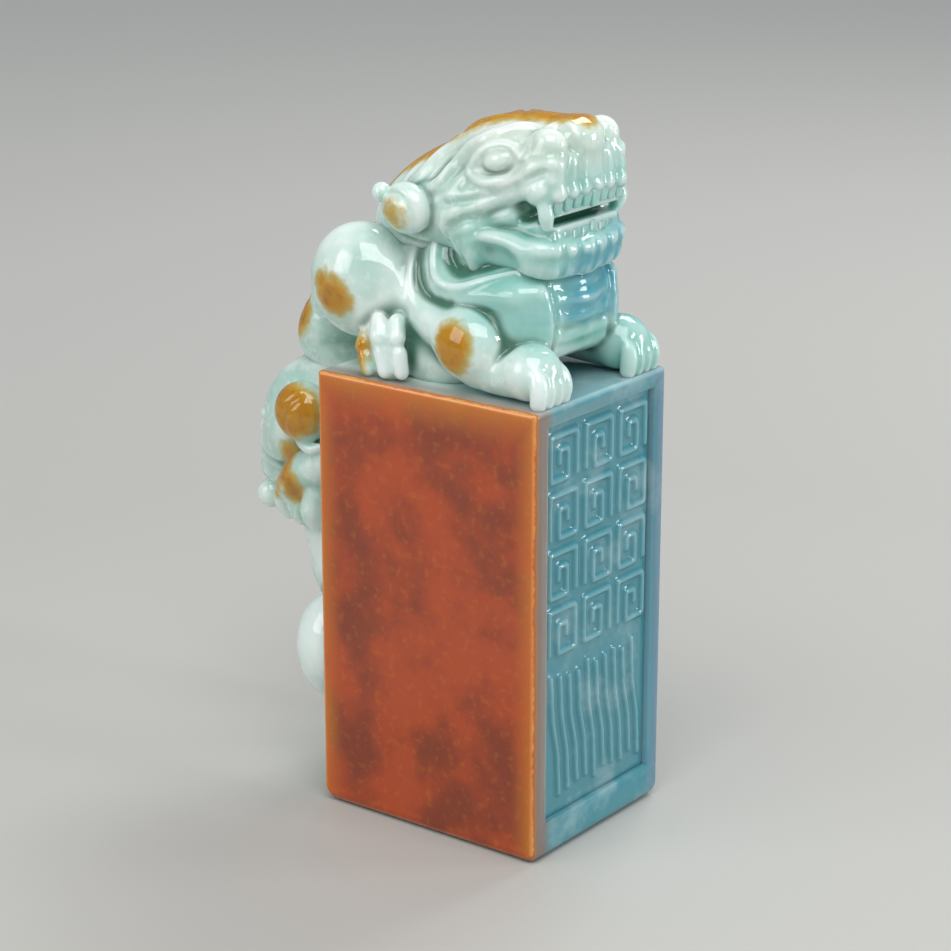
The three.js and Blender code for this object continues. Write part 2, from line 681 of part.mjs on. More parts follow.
// Regions in the order in which they keep their shape: each is cut by those before it.
const regions = [
  ["upper_teeth", onTop(upperTeeth), CELADON],
  ["lower_teeth", onTop(lowerTeeth), BLUE_GREEN],
  ["left_eye", onTop(eye), CELADON],
  ["right_eye", onTop(mirrored(eye)), CELADON],
  ["head", onTop(head), CELADON],
  ["lower_jaw", onTop(lowerJaw), BLUE_GREEN],
  ["tongue", onTop(tongue), BLUE_GREEN],
  ["nose", onTop(nose), CELADON],
  ["left_brow", onTop(brow), CELADON],
  ["right_brow", onTop(mirrored(brow)), CELADON],
  ["left_ear", onTop(ear), CELADON],
  ["right_ear", onTop(mirrored(ear)), AMBER_SPOT],
  ["left_collar", onTop(collar), BLUE_GREEN],
  ["right_collar", onTop(mirrored(collar)), CELADON],
  ["belly_scutes", onTop(bellyScutes), BLUE_GREEN],
  ["trunk", onTop(trunk), CELADON],
  ["chest", onTop(chest), BLUE_GREEN],
  ["left_foreleg", onTop(foreleg), BLUE_GREEN],
  ["right_foreleg", onTop(mirrored(foreleg)), CELADON],
  ["left_haunch", onTop(haunch), CELADON],
  ["right_haunch", onTop(mirrored(haunch)), CELADON],
  ["left_hind_foot", onTop(hindFoot), CELADON],
  ["right_hind_foot", onTop(mirrored(hindFoot)), AMBER_SPOT],
  ["tail", onTop(tail), AMBER_SPOT],
  ["cub_head", onBack(cubHead), CELADON],
  ["cub_trunk", onBack(cubTrunk), CELADON],
  ["cub_left_ear", onBack(cubEar), CELADON],
  ["cub_right_ear", onBack(mirrored(cubEar)), AMBER_SPOT],
  ["cub_jaw", onBack(cubJaw), CELADON],
  ["pearl", onBack(pearl), CELADON],
  ["cub_left_foreleg", onBack(cubForeleg), CELADON],
  ["cub_right_foreleg", onBack(mirrored(cubForeleg)), AMBER_SPOT],
  ["cub_left_haunch", onBack(cubHaunch), CELADON],
  ["cub_right_haunch", onBack(mirrored(cubHaunch)), CELADON],
  ["cub_tail", onBack(cubTail), CELADON],
];

// Spaces that the carving leaves open.
const openSpaces = {
  head: onTop(mouth)(0),
  lower_jaw: onTop(mouth)(0),
};

// Stone that the block takes up, as far as its flat faces reach.
const blockSpace = boxBetween(
  [-BLOCK_LENGTH / 2, -BLOCK_WIDTH, -BLOCK_HEIGHT],
  [BLOCK_LENGTH, BLOCK_WIDTH, BLOCK_HEIGHT],
);

// Whether the boxes round two solids meet.
function boxesMeet(first, second) {
  const a = first.boundingBox();
  const b = second.boundingBox();
  return [0, 1, 2].every((axis) => a.min[axis] < b.max[axis] && b.min[axis] < a.max[axis]);
}

const stamp = new THREE.Group();

// Adds a solid to the stamp as a named piece of stone.
function addPiece(name, solid, color) {
  const { vertProperties, triVerts, numProp } = solid.getMesh();
  const positions = new Float32Array((vertProperties.length / numProp) * 3);
  for (let vertex = 0; vertex < positions.length / 3; vertex += 1) {
    for (let axis = 0; axis < 3; axis += 1) {
      positions[vertex * 3 + axis] = vertProperties[vertex * numProp + axis];
    }
  }
  const geometry = new THREE.BufferGeometry();
  geometry.setAttribute("position", new THREE.BufferAttribute(positions, 3));
  geometry.setIndex(new THREE.BufferAttribute(new Uint32Array(triVerts), 1));
  geometry.computeVertexNormals();
  const material = new THREE.MeshStandardMaterial({ color, roughness: 0.15, metalness: 0 });
  const mesh = new THREE.Mesh(geometry, material);
  mesh.name = name;
  stamp.add(mesh);
}

addPiece("seal_block", sealBlock(), AMBER_SKIN);
addPiece("front_panel", frontPanel(), BLUE_GREEN);
const keptClear = [];
for (const [name, form, color] of regions) {
  let solid = form(0).subtract(blockSpace);
  if (openSpaces[name]) {
    solid = solid.subtract(openSpaces[name]);
  }
  for (const neighbour of keptClear) {
    if (boxesMeet(solid, neighbour)) {
      solid = solid.subtract(neighbour);
    }
  }
  addPiece(name, solid, color);
  keptClear.push(form(CREASE));
}

export default stamp;
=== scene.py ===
"""Jadeite seal stamp: a guardian beast and its cub on an upright block with a relief panel.

The figures are sculpted as clay, a grid of distances to the stone's surface, because a carver also
starts from plain masses, joins them softly and then cuts folds and grooves into them. Places are in
millimetres: the beast's from the middle of the block's top face, the cub's from the top edge of its
back face, and the block's from the frame.
"""

from __future__ import annotations

import logging
import math
from abc import ABC, abstractmethod
from dataclasses import dataclass, replace
from enum import Enum
from functools import partial

import bmesh
import bpy
import numpy as np
from mathutils import Matrix, Vector

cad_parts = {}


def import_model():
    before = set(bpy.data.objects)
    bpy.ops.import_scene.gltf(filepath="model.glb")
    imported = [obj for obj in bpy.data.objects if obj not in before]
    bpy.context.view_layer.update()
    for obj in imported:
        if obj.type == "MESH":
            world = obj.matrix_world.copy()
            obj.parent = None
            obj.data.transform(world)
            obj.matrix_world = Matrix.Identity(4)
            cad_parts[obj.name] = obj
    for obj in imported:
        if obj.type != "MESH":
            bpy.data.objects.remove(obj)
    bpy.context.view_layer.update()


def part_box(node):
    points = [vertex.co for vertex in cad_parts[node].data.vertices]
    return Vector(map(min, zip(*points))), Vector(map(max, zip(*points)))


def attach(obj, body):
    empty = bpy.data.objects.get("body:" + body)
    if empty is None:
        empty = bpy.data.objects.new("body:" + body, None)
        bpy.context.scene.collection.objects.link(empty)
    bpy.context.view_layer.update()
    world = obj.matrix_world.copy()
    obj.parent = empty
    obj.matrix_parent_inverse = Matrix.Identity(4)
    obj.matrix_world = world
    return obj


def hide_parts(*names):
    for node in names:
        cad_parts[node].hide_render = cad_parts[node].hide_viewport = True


MM = 0.001
BODY = "root"
# In millimetres: the distance that empty clay starts from, how far round a form the clay is
# measured, and what a mesh's "stain" attribute says on a stain's outline.
FAR = 9.0
REACH = 3.0
STAIN_EDGE = 3.5
# Smoothing of an edge that has to lie flush with the block, in millimetres.
FLUSH = 0.05
# Spacing of the steps along a strand's curve, in millimetres: where the strand is drawn with few
# points, and where its points lie so close that two steps between them are enough.
DRAWN = 0.6
LAID = 9.0
# What keeps a division from failing where its divisor is 0, and how near a face counts as on it.
TINY = 1e-9
CLOSE = 0.01

log = logging.getLogger("seal_stamp")

Place = tuple[float, ...]
Path = tuple[Place, ...]
Corners = tuple[np.ndarray, np.ndarray]
Places = list[np.ndarray] | np.ndarray
Part = tuple[slice, slice, slice]
Tree = bpy.types.NodeTree
Socket = bpy.types.NodeSocket
MATH = "ShaderNodeMath"


def linear(hex_colour: str) -> tuple[float, float, float, float]:
    """Turns an sRGB hex colour into linear light.

    Args:
        hex_colour: Colour such as "#A9D3C6".

    Returns:
        Red, green, blue and an alpha of 1.
    """
    levels = [int(hex_colour[start:start + 2], 16) / 255 for start in (1, 3, 5)]
    light = [v / 12.92 if v <= 0.04045 else ((v + 0.055) / 1.055) ** 2.4 for v in levels]
    return (light[0], light[1], light[2], 1.0)


def add_node(
    tree: Tree,
    kind: str,
    inputs: dict[str | int, object] | None = None,
    output: str = "",
    **settings: object,
) -> Socket | None:
    """Adds a node, sets its properties and fills or links its inputs.

    Args:
        tree: Node tree that the node goes into.
        kind: Blender's name for the kind of node.
        inputs: A value or an output socket for each input, by the input's name or place.
        output: Name of the output that is wanted, where it isn't the first.
        settings: Properties of the node itself.

    Returns:
        The wanted output socket, or nothing where the node has none.
    """
    node = tree.nodes.new(kind)
    for name, value in settings.items():
        setattr(node, name, value)
    shown = [socket for socket in node.inputs if socket.enabled]
    for key, value in (inputs or {}).items():
        socket = shown[key] if isinstance(key, int) else next(s for s in shown if s.name == key)
        if isinstance(value, Socket):
            tree.links.new(value, socket)
        else:
            socket.default_value = value
    given = [socket for socket in node.outputs if socket.enabled and output in ("", socket.name)]
    return given[0] if given else None


def add_trait(mesh: bpy.types.Mesh, label: str, values: np.ndarray) -> None:
    """Gives a mesh a named value at each point, for its material to read."""
    attribute = mesh.attributes.new(label, "FLOAT", "POINT")
    attribute.data.foreach_set("value", values.astype(np.float32))


# Forms of clay


def turn_matrix(turn: Place) -> np.ndarray:
    """Rotation matrix of a turn in degrees about X, then Y, then Z."""
    x, y, z = (Matrix.Rotation(math.radians(angle), 3, axis) for angle, axis in zip(turn, "XYZ"))
    return np.array(z @ y @ x)


class Form(ABC):
    """Solid form that can be pressed onto the clay or cut out of it."""

    @abstractmethod
    def reach(self) -> Corners:
        """Gives the form's lowest and highest corners."""

    @abstractmethod
    def distance(self, at: Places) -> np.ndarray:
        """Gives the distance to the form's surface, negative inside it.

        Args:
            at: Places along X, Y and Z, of one shape or shaped to spread over a grid.

        Returns:
            Distances at all the places.
        """

    @abstractmethod
    def mirrored(self) -> Form:
        """Gives the same form on the other side of the middle plane."""


@dataclass(frozen=True)
class Turned(Form):
    """Form about a centre, given by half its sizes, with a turn in degrees."""

    centre: Place
    halves: Place
    turn: Place = (0.0, 0.0, 0.0)

    def local(self, at: Places) -> list[np.ndarray]:
        """Measures places from the centre along the form's own axes."""
        offsets = [places - middle for places, middle in zip(at, self.centre)]
        back = turn_matrix(self.turn).T
        return [sum(back[row, axis] * offsets[axis] for axis in range(3)) for row in range(3)]

    def mirrored(self) -> Turned:
        """Gives the same form on the other side."""
        x, y, z = self.centre
        roll, pitch, yaw = self.turn
        return replace(self, centre=(x, -y, z), turn=(-roll, pitch, -yaw))


@dataclass(frozen=True)
class Ball(Turned):
    """Ellipsoid, whose field is never taken for flatter than FLATTEST, as it is in its middle."""

    FLATTEST = 1e-6

    def reach(self) -> Corners:
        """Gives the ellipsoid's lowest and highest corners."""
        spread = np.sqrt(turn_matrix(self.turn) ** 2 @ np.square(self.halves))
        return np.array(self.centre) - spread, np.array(self.centre) + spread

    def distance(self, at: Places) -> np.ndarray:
        """Gives a close estimate of the distance to the ellipsoid."""
        parts = list(zip(self.local(at), self.halves))
        near = np.sqrt(sum((part / radius) ** 2 for part, radius in parts))
        steep = np.sqrt(sum((part / radius ** 2) ** 2 for part, radius in parts))
        return near * (near - 1) / (steep + self.FLATTEST)


@dataclass(frozen=True)
class Slab(Turned):
    """Box with rounded edges."""

    rounding: float = 0.1

    def reach(self) -> Corners:
        """Gives the box's lowest and highest corners."""
        spread = np.abs(turn_matrix(self.turn)) @ np.array(self.halves)
        return np.array(self.centre) - spread, np.array(self.centre) + spread

    def distance(self, at: Places) -> np.ndarray:
        """Gives the distance to the rounded box."""
        past = [
            np.abs(part) - (half - self.rounding)
            for part, half in zip(self.local(at), self.halves)
        ]
        outside = np.sqrt(sum(np.maximum(part, 0) ** 2 for part in past))
        inside = np.minimum(np.maximum(np.maximum(past[0], past[1]), past[2]), 0)
        return outside + inside - self.rounding


def smooth_path(points: Path, spacing: float) -> np.ndarray:
    """Runs a smooth curve through points, radius and all.

    Args:
        points: Places, each with as many numbers as the curve should carry.
        spacing: Length of a step along the curve, in millimetres.

    Returns:
        One row for each step.
    """
    given = np.array(points, float)
    ends = np.vstack([2 * given[0] - given[1], given, 2 * given[-1] - given[-2]])
    rows = []
    for before, start, end, after in zip(ends, ends[1:], ends[2:], ends[3:]):
        steps = max(2, math.ceil(np.linalg.norm((end - start)[:3]) / spacing))
        for t in np.arange(steps) / steps:
            rows.append(0.5 * (
                2 * start
                + (end - before) * t
                + (2 * before - 5 * start + 4 * end - after) * t ** 2
                + (3 * start - before - 3 * end + after) * t ** 3
            ))
    rows.append(given[-1])
    return np.array(rows)


@dataclass(frozen=True)
class Strand(Form):
    """Round strand through points that are (x, y, z, radius)."""

    points: Path
    spacing: float = DRAWN

    def legs(self) -> list[tuple[np.ndarray, np.ndarray]]:
        """Gives the two ends of each straight leg of the strand."""
        path = smooth_path(self.points, self.spacing)
        return list(zip(path[:-1], path[1:]))

    def reach(self) -> Corners:
        """Gives the strand's lowest and highest corners."""
        path = smooth_path(self.points, self.spacing)
        radius = path[:, 3].max()
        return path[:, :3].min(0) - radius, path[:, :3].max(0) + radius

    def distance(self, at: Places) -> np.ndarray:
        """Gives the distance to the nearest leg."""
        nearest = FAR
        for start, end in self.legs():
            nearest = np.minimum(nearest, leg_distance(start, end, at))
        return nearest

    def mirrored(self) -> Strand:
        """Gives the strand on the other side."""
        return replace(self, points=tuple((x, -y, z, radius) for x, y, z, radius in self.points))


def leg_distance(start: np.ndarray, end: np.ndarray, at: Places) -> np.ndarray:
    """Gives the distance to a straight leg whose radius changes evenly.

    Args:
        start: Place and radius of one end.
        end: Place and radius of the other end.
        at: Places along X, Y and Z.

    Returns:
        Distances at all the places.
    """
    run = (end - start)[:3]
    offsets = [places - first for places, first in zip(at, start)]
    share = sum(offsets[axis] * run[axis] for axis in range(3)) / (run @ run + TINY)
    share = np.clip(share, 0, 1)
    gap = np.sqrt(sum((offsets[axis] - share * run[axis]) ** 2 for axis in range(3)))
    return gap - (start[3] + share * (end[3] - start[3]))


def evened(rows: np.ndarray) -> np.ndarray:
    """Averages each inner row with its two neighbours, which count half as much as it does."""
    return (rows[:-2] + 2 * rows[1:-1] + rows[2:]) / 4


class Side(Enum):
    """Side that a line is carved on: the axis it is seen along, from which end, and its plan."""

    FLANK = (1, -1, (0, 2))
    FRONT = (0, 1, (1, 2))
    BACK = (0, -1, (1, 2))


class Clay:
    """Grid of distances to the stone's surface, negative inside the stone.

    Places are read just inside its last points, MARGIN short of their number. A line that is laid
    on it has a point each LINE_STEP, is evened out EVENING times and is at least THINNEST thick.
    The finished points are drawn SNAP_SHARE of the way to the surface SNAPS times. TRAITS are the
    mesh's attributes that say how far a point stands out of the clay round it, by that
    neighbourhood's width; the stone's material paints a highlight on crests by the first and shade
    in hollows by the second.
    """

    MARGIN = 1.001
    LINE_STEP = 0.5
    EVENING = 3
    THINNEST = 0.05
    SNAPS = 2
    SNAP_SHARE = 0.8
    TRAITS = {"relief": 1.0, "mass": 3.0}

    def __init__(self, low: Place, high: Place, step: float) -> None:
        """Lays out an empty grid.

        Args:
            low: Lowest corner.
            high: Highest corner.
            step: Distance between grid points.
        """
        self.low = np.array(low, float)
        self.step = step
        counts = np.ceil((np.array(high) - self.low) / step).astype(int) + 1
        self.field = np.full(counts, FAR, np.float32)
        self.axes = [
            (self.low[axis] + step * np.arange(counts[axis])).astype(np.float32)
            for axis in range(3)
        ]

    def window(self, low: np.ndarray, high: np.ndarray) -> Part:
        """Gives the part of the grid that lies within reach of a box."""
        first = np.floor((low - REACH - self.low) / self.step).astype(int)
        last = np.ceil((high + REACH - self.low) / self.step).astype(int) + 1
        size = np.array(self.field.shape)
        first = np.clip(first, 0, size)
        last = np.clip(last, first, size)
        return tuple(slice(start, stop) for start, stop in zip(first, last))

    def spread(self, part: Part) -> Places:
        """Gives the X, Y and Z places of a part of the grid, shaped to spread over it."""
        x, y, z = (self.axes[axis][part[axis]] for axis in range(3))
        return [x[:, None, None], y[None, :, None], z[None, None, :]]

    def sample(self, form: Form) -> tuple[Part, np.ndarray]:
        """Measures the distance to a form near it.

        Args:
            form: Form to measure.

        Returns:
            The part of the grid that was measured, and the distances there.
        """
        part = self.window(*form.reach())
        if not isinstance(form, Strand):
            return part, form.distance(self.spread(part)).astype(np.float32)
        distances = np.full([piece.stop - piece.start for piece in part], FAR, np.float32)
        for start, end in form.legs():
            radius = max(start[3], end[3])
            low = np.minimum(start[:3], end[:3]) - radius
            high = np.maximum(start[:3], end[:3]) + radius
            near = self.window(low, high)
            local = tuple(
                slice(near[axis].start - part[axis].start, near[axis].stop - part[axis].start)
                for axis in range(3)
            )
            found = leg_distance(start, end, self.spread(near))
            distances[local] = np.minimum(distances[local], found)
        return part, distances

    def add(self, form: Form, blend: float = 0.6, paired: bool = False) -> None:
        """Presses a form onto the clay.

        Args:
            form: Form to add.
            blend: How far the join is smoothed, in millimetres.
            paired: Whether its mirror image is added too.
        """
        part, distances = self.sample(form)
        kept = self.field[part]
        overlap = np.maximum(blend - np.abs(kept - distances), 0)
        self.field[part] = np.minimum(kept, distances) - overlap ** 2 / (4 * blend)
        if paired:
            self.add(form.mirrored(), blend)

    def cut(self, form: Form, blend: float = 0.3, paired: bool = False) -> None:
        """Cuts a form out of the clay.

        Args:
            form: Form to cut away.
            blend: How far the rim is smoothed, in millimetres.
            paired: Whether its mirror image is cut too.
        """
        part, distances = self.sample(form)
        kept = self.field[part]
        overlap = np.maximum(blend - np.abs(kept + distances), 0)
        self.field[part] = np.maximum(kept, -distances) + overlap ** 2 / (4 * blend)
        if paired:
            self.cut(form.mirrored(), blend)

    def values(self, points: np.ndarray) -> np.ndarray:
        """Reads the distance at any places between grid points."""
        grid = (points - self.low) / self.step
        grid = np.clip(grid, 0, np.array(self.field.shape) - self.MARGIN)
        base = grid.astype(int)
        part = grid - base
        total = np.zeros(len(points))
        for corner in np.ndindex(2, 2, 2):
            weight = np.prod(np.where(corner, part, 1 - part), axis=1)
            total += weight * self.field[tuple((base + corner).T)]
        return total

    def slopes(self, points: np.ndarray) -> np.ndarray:
        """Gives the direction straight out of the stone at each place."""
        moves = np.eye(3) * self.step
        rise = np.stack([self.values(points + m) - self.values(points - m) for m in moves], -1)
        return rise / (np.linalg.norm(rise, axis=1, keepdims=True) + TINY)

    def seat(self, side: Side, points: Path, height: float) -> Strand:
        """Lays a strand along the clay's surface, as seen from one side.

        Args:
            side: Side that the points are given on.
            points: Two places on that side's plan and the strand's radius.
            height: How far the strand stands out of the surface where it is thickest. Below 0 it
                lies over the surface and reaches that far into it.

        Returns:
            The strand, laid along the surface.
        """
        axis, end, plan = side.value
        path = smooth_path(points, self.LINE_STEP)
        depths = self.axes[axis][::-end]
        probes = np.zeros((len(path), len(depths), 3))
        probes[:, :, axis] = depths[None, :]
        for column, plan_axis in enumerate(plan):
            probes[:, :, plan_axis] = path[:, column][:, None]
        values = self.values(probes.reshape(-1, 3)).reshape(len(path), len(depths))
        rows = np.arange(len(path))
        struck = np.maximum(np.argmax(values < 0, axis=1), 1)
        missed = values.min(axis=1) >= 0
        struck[missed] = np.maximum(np.argmin(values[missed], axis=1), 1)
        before, after = values[rows, struck - 1], values[rows, struck]
        share = np.clip(before / (before - after + TINY), 0, 1)
        depth = depths[struck - 1] + share * (depths[struck] - depths[struck - 1])
        for _ in range(self.EVENING):
            depth[1:-1] = evened(depth)
        laid = np.zeros((len(path), 4))
        laid[:, axis] = depth
        for column, plan_axis in enumerate(plan):
            laid[:, plan_axis] = path[:, column]
        radii = np.maximum(path[:, 2], self.THINNEST)
        sunk = radii - abs(height) * radii / radii.max()
        laid[:, :3] -= self.slopes(laid[:, :3]) * (sunk * np.sign(height))[:, None]
        laid[:, 3] = radii
        return Strand(tuple(map(tuple, laid)), LAID)

    def ridge(
        self, points: Path, height: float, blend: float = 0.5, side: Side = Side.FLANK
    ) -> None:
        """Raises a soft fold along both flanks of the figure, or along another side."""
        self.add(self.seat(side, points, height), blend, side is Side.FLANK)

    def groove(
        self, points: Path, depth: float = 0.3, blend: float = 0.3, side: Side = Side.FLANK
    ) -> None:
        """Cuts a soft groove along both flanks of the figure, or along another side."""
        self.cut(self.seat(side, points, -depth), blend, side is Side.FLANK)

    def polish(self) -> None:
        """Rounds every edge a little, as polishing does."""
        for axis in range(3):
            field = np.moveaxis(self.field, axis, 0)
            field[1:-1] = evened(field)

    def softened(self, width: float) -> np.ndarray:
        """Averages the distances over a width, to tell what stands out from what lies deep."""
        half = max(1, round(width / self.step / 2))
        soft = np.clip(self.field, -width, width)
        for _ in range(2):
            for axis in range(3):
                moved = np.moveaxis(soft, axis, 0)
                padded = np.pad(moved, [(half + 1, half), (0, 0), (0, 0)], mode="edge")
                sums = np.cumsum(padded, axis=0, dtype=np.float64)
                moved = (sums[2 * half + 1:] - sums[:-2 * half - 1]) / (2 * half + 1)
                soft = np.moveaxis(moved.astype(np.float32), 0, axis)
        return soft

    def surface(self) -> tuple[np.ndarray, np.ndarray]:
        """Finds the surface as one point in each grid cell that it crosses.

        Returns:
            The points in millimetres, and the four-sided faces between them.
        """
        inside = self.field < 0
        cells = [size - 1 for size in inside.shape]
        count = np.zeros(cells, np.uint8)
        corners = list(np.ndindex(2, 2, 2))
        for corner in corners:
            part = tuple(slice(corner[axis], corner[axis] + cells[axis]) for axis in range(3))
            count += inside[part]
        crossed = (count > 0) & (count < len(corners))
        where = np.argwhere(crossed)
        numbers = np.full(cells, -1, np.int64)
        numbers[crossed] = np.arange(len(where))
        total = np.zeros((len(where), 3))
        hits = np.zeros((len(where), 1))
        for corner in corners:
            for axis in range(3):
                if corner[axis]:
                    continue
                other = tuple(1 if place == axis else corner[place] for place in range(3))
                near = self.field[tuple((where + corner).T)].astype(float)
                far = self.field[tuple((where + other).T)].astype(float)
                crosses = (near < 0) != (far < 0)
                point = np.tile(np.array(corner, float), (len(where), 1))
                point[:, axis] += np.where(crosses, near / np.where(crosses, near - far, 1), 0)
                total += point * crosses[:, None]
                hits += crosses[:, None]
        points = (where + total / hits) * self.step + self.low
        faces = [self.faces_across(inside, numbers, axis) for axis in range(3)]
        return points, np.vstack(faces)

    @staticmethod
    def faces_across(inside: np.ndarray, numbers: np.ndarray, axis: int) -> np.ndarray:
        """Makes a face round each grid edge along an axis that crosses the surface.

        Args:
            inside: Which grid points lie in the stone.
            numbers: Number of the surface point in each cell.
            axis: Axis that the edges run along.

        Returns:
            Four point numbers for each face, turned to face outwards.
        """
        inner = [slice(1, size - 1) for size in inside.shape]
        inner[axis] = slice(0, inside.shape[axis] - 1)
        outer = list(inner)
        outer[axis] = slice(1, inside.shape[axis])
        near = inside[tuple(inner)]
        edges = np.argwhere(near != inside[tuple(outer)])
        leaves = near[tuple(edges.T)]
        base = edges + [0 if place == axis else 1 for place in range(3)]
        across, along = [(1, 2), (2, 0), (0, 1)][axis]
        sides = []
        for back, down in ((1, 1), (0, 1), (0, 0), (1, 0)):
            cell = base.copy()
            cell[:, across] -= back
            cell[:, along] -= down
            sides.append(numbers[tuple(cell.T)])
        faces = np.stack(sides, axis=1)
        faces[~leaves] = faces[~leaves][:, ::-1]
        return faces

    def to_object(self, name: str, origin: Place, stains: tuple[Form, ...]) -> bpy.types.Object:
        """Turns the clay into a mesh object.

        Args:
            name: Name of the piece.
            origin: Where the clay's zero lies in the frame, in millimetres.
            stains: Forms within which the stone keeps its orange skin.

        Returns:
            The object, with its TRAITS and "stain", which is STAIN_EDGE on a stain's outline and 0
            that far outside it, as attributes.
        """
        self.polish()
        points, faces = self.surface()
        for _ in range(self.SNAPS):
            gaps = self.values(points)[:, None]
            points -= self.slopes(points) * gaps * self.SNAP_SHARE
        traits = {}
        sharp = self.field
        for label, width in self.TRAITS.items():
            self.field = self.softened(width)
            traits[label] = self.values(points) / width
            self.field = sharp
        depths = [STAIN_EDGE - stain.distance(points.T) for stain in stains]
        traits["stain"] = np.clip(np.max(depths, axis=0), 0, 2 * STAIN_EDGE)
        mesh = bpy.data.meshes.new(name)
        mesh.vertices.add(len(points))
        mesh.vertices.foreach_set("co", ((points + origin) * MM).astype(np.float32).ravel())
        mesh.loops.add(faces.size)
        mesh.loops.foreach_set("vertex_index", faces.astype(np.int32).ravel())
        mesh.polygons.add(len(faces))
        mesh.polygons.foreach_set("loop_start", np.arange(0, faces.size, 4, dtype=np.int32))
        mesh.update(calc_edges=True)
        mesh.shade_smooth()
        for label, values in traits.items():
            add_trait(mesh, label, values)
        piece = bpy.data.objects.new(name, mesh)
        bpy.context.scene.collection.objects.link(piece)
        return piece


# Finishes


@dataclass(frozen=True)
class Layer:
    """Colour over what is below it.

    It starts to show where its value reaches `start`, and covers most, `cover`, from `full` on.
    """

    value: Socket
    start: float
    full: float
    cover: float
    colour: str


def lay(tree: Tree, ground: Socket | tuple, *layers: Layer) -> Socket:
    """Lays colours over each other.

    Args:
        tree: Material's node tree.
        ground: Colour under them all.
        layers: Colours, the lowest first.

    Returns:
        The colour on top.
    """
    for layer in layers:
        cover = add_node(
            tree, "ShaderNodeMapRange",
            {"Value": layer.value, "From Min": layer.start, "From Max": layer.full,
             "To Max": layer.cover},
            interpolation_type="SMOOTHSTEP",
        )
        ground = add_node(
            tree, "ShaderNodeMix", {"Factor": cover, "A": ground, "B": linear(layer.colour)},
            data_type="RGBA",
        )
    return ground


@dataclass(frozen=True)
class StonePlace:
    """What the stone's nodes read at each place: where it is, its noises and its mesh's traits."""

    along: Socket
    across: Socket
    height: Socket
    clouds: Socket
    veins: Socket
    speckles: Socket
    ripple: Socket
    relief: Socket
    mass: Socket
    stain: Socket


@dataclass(frozen=True)
class Rim:
    """Painted light along the ends and the top of a skin: over which millimetres it sets in, and
    its cover.
    """

    ends: tuple[float, float]
    top: tuple[float, float]
    cover: float


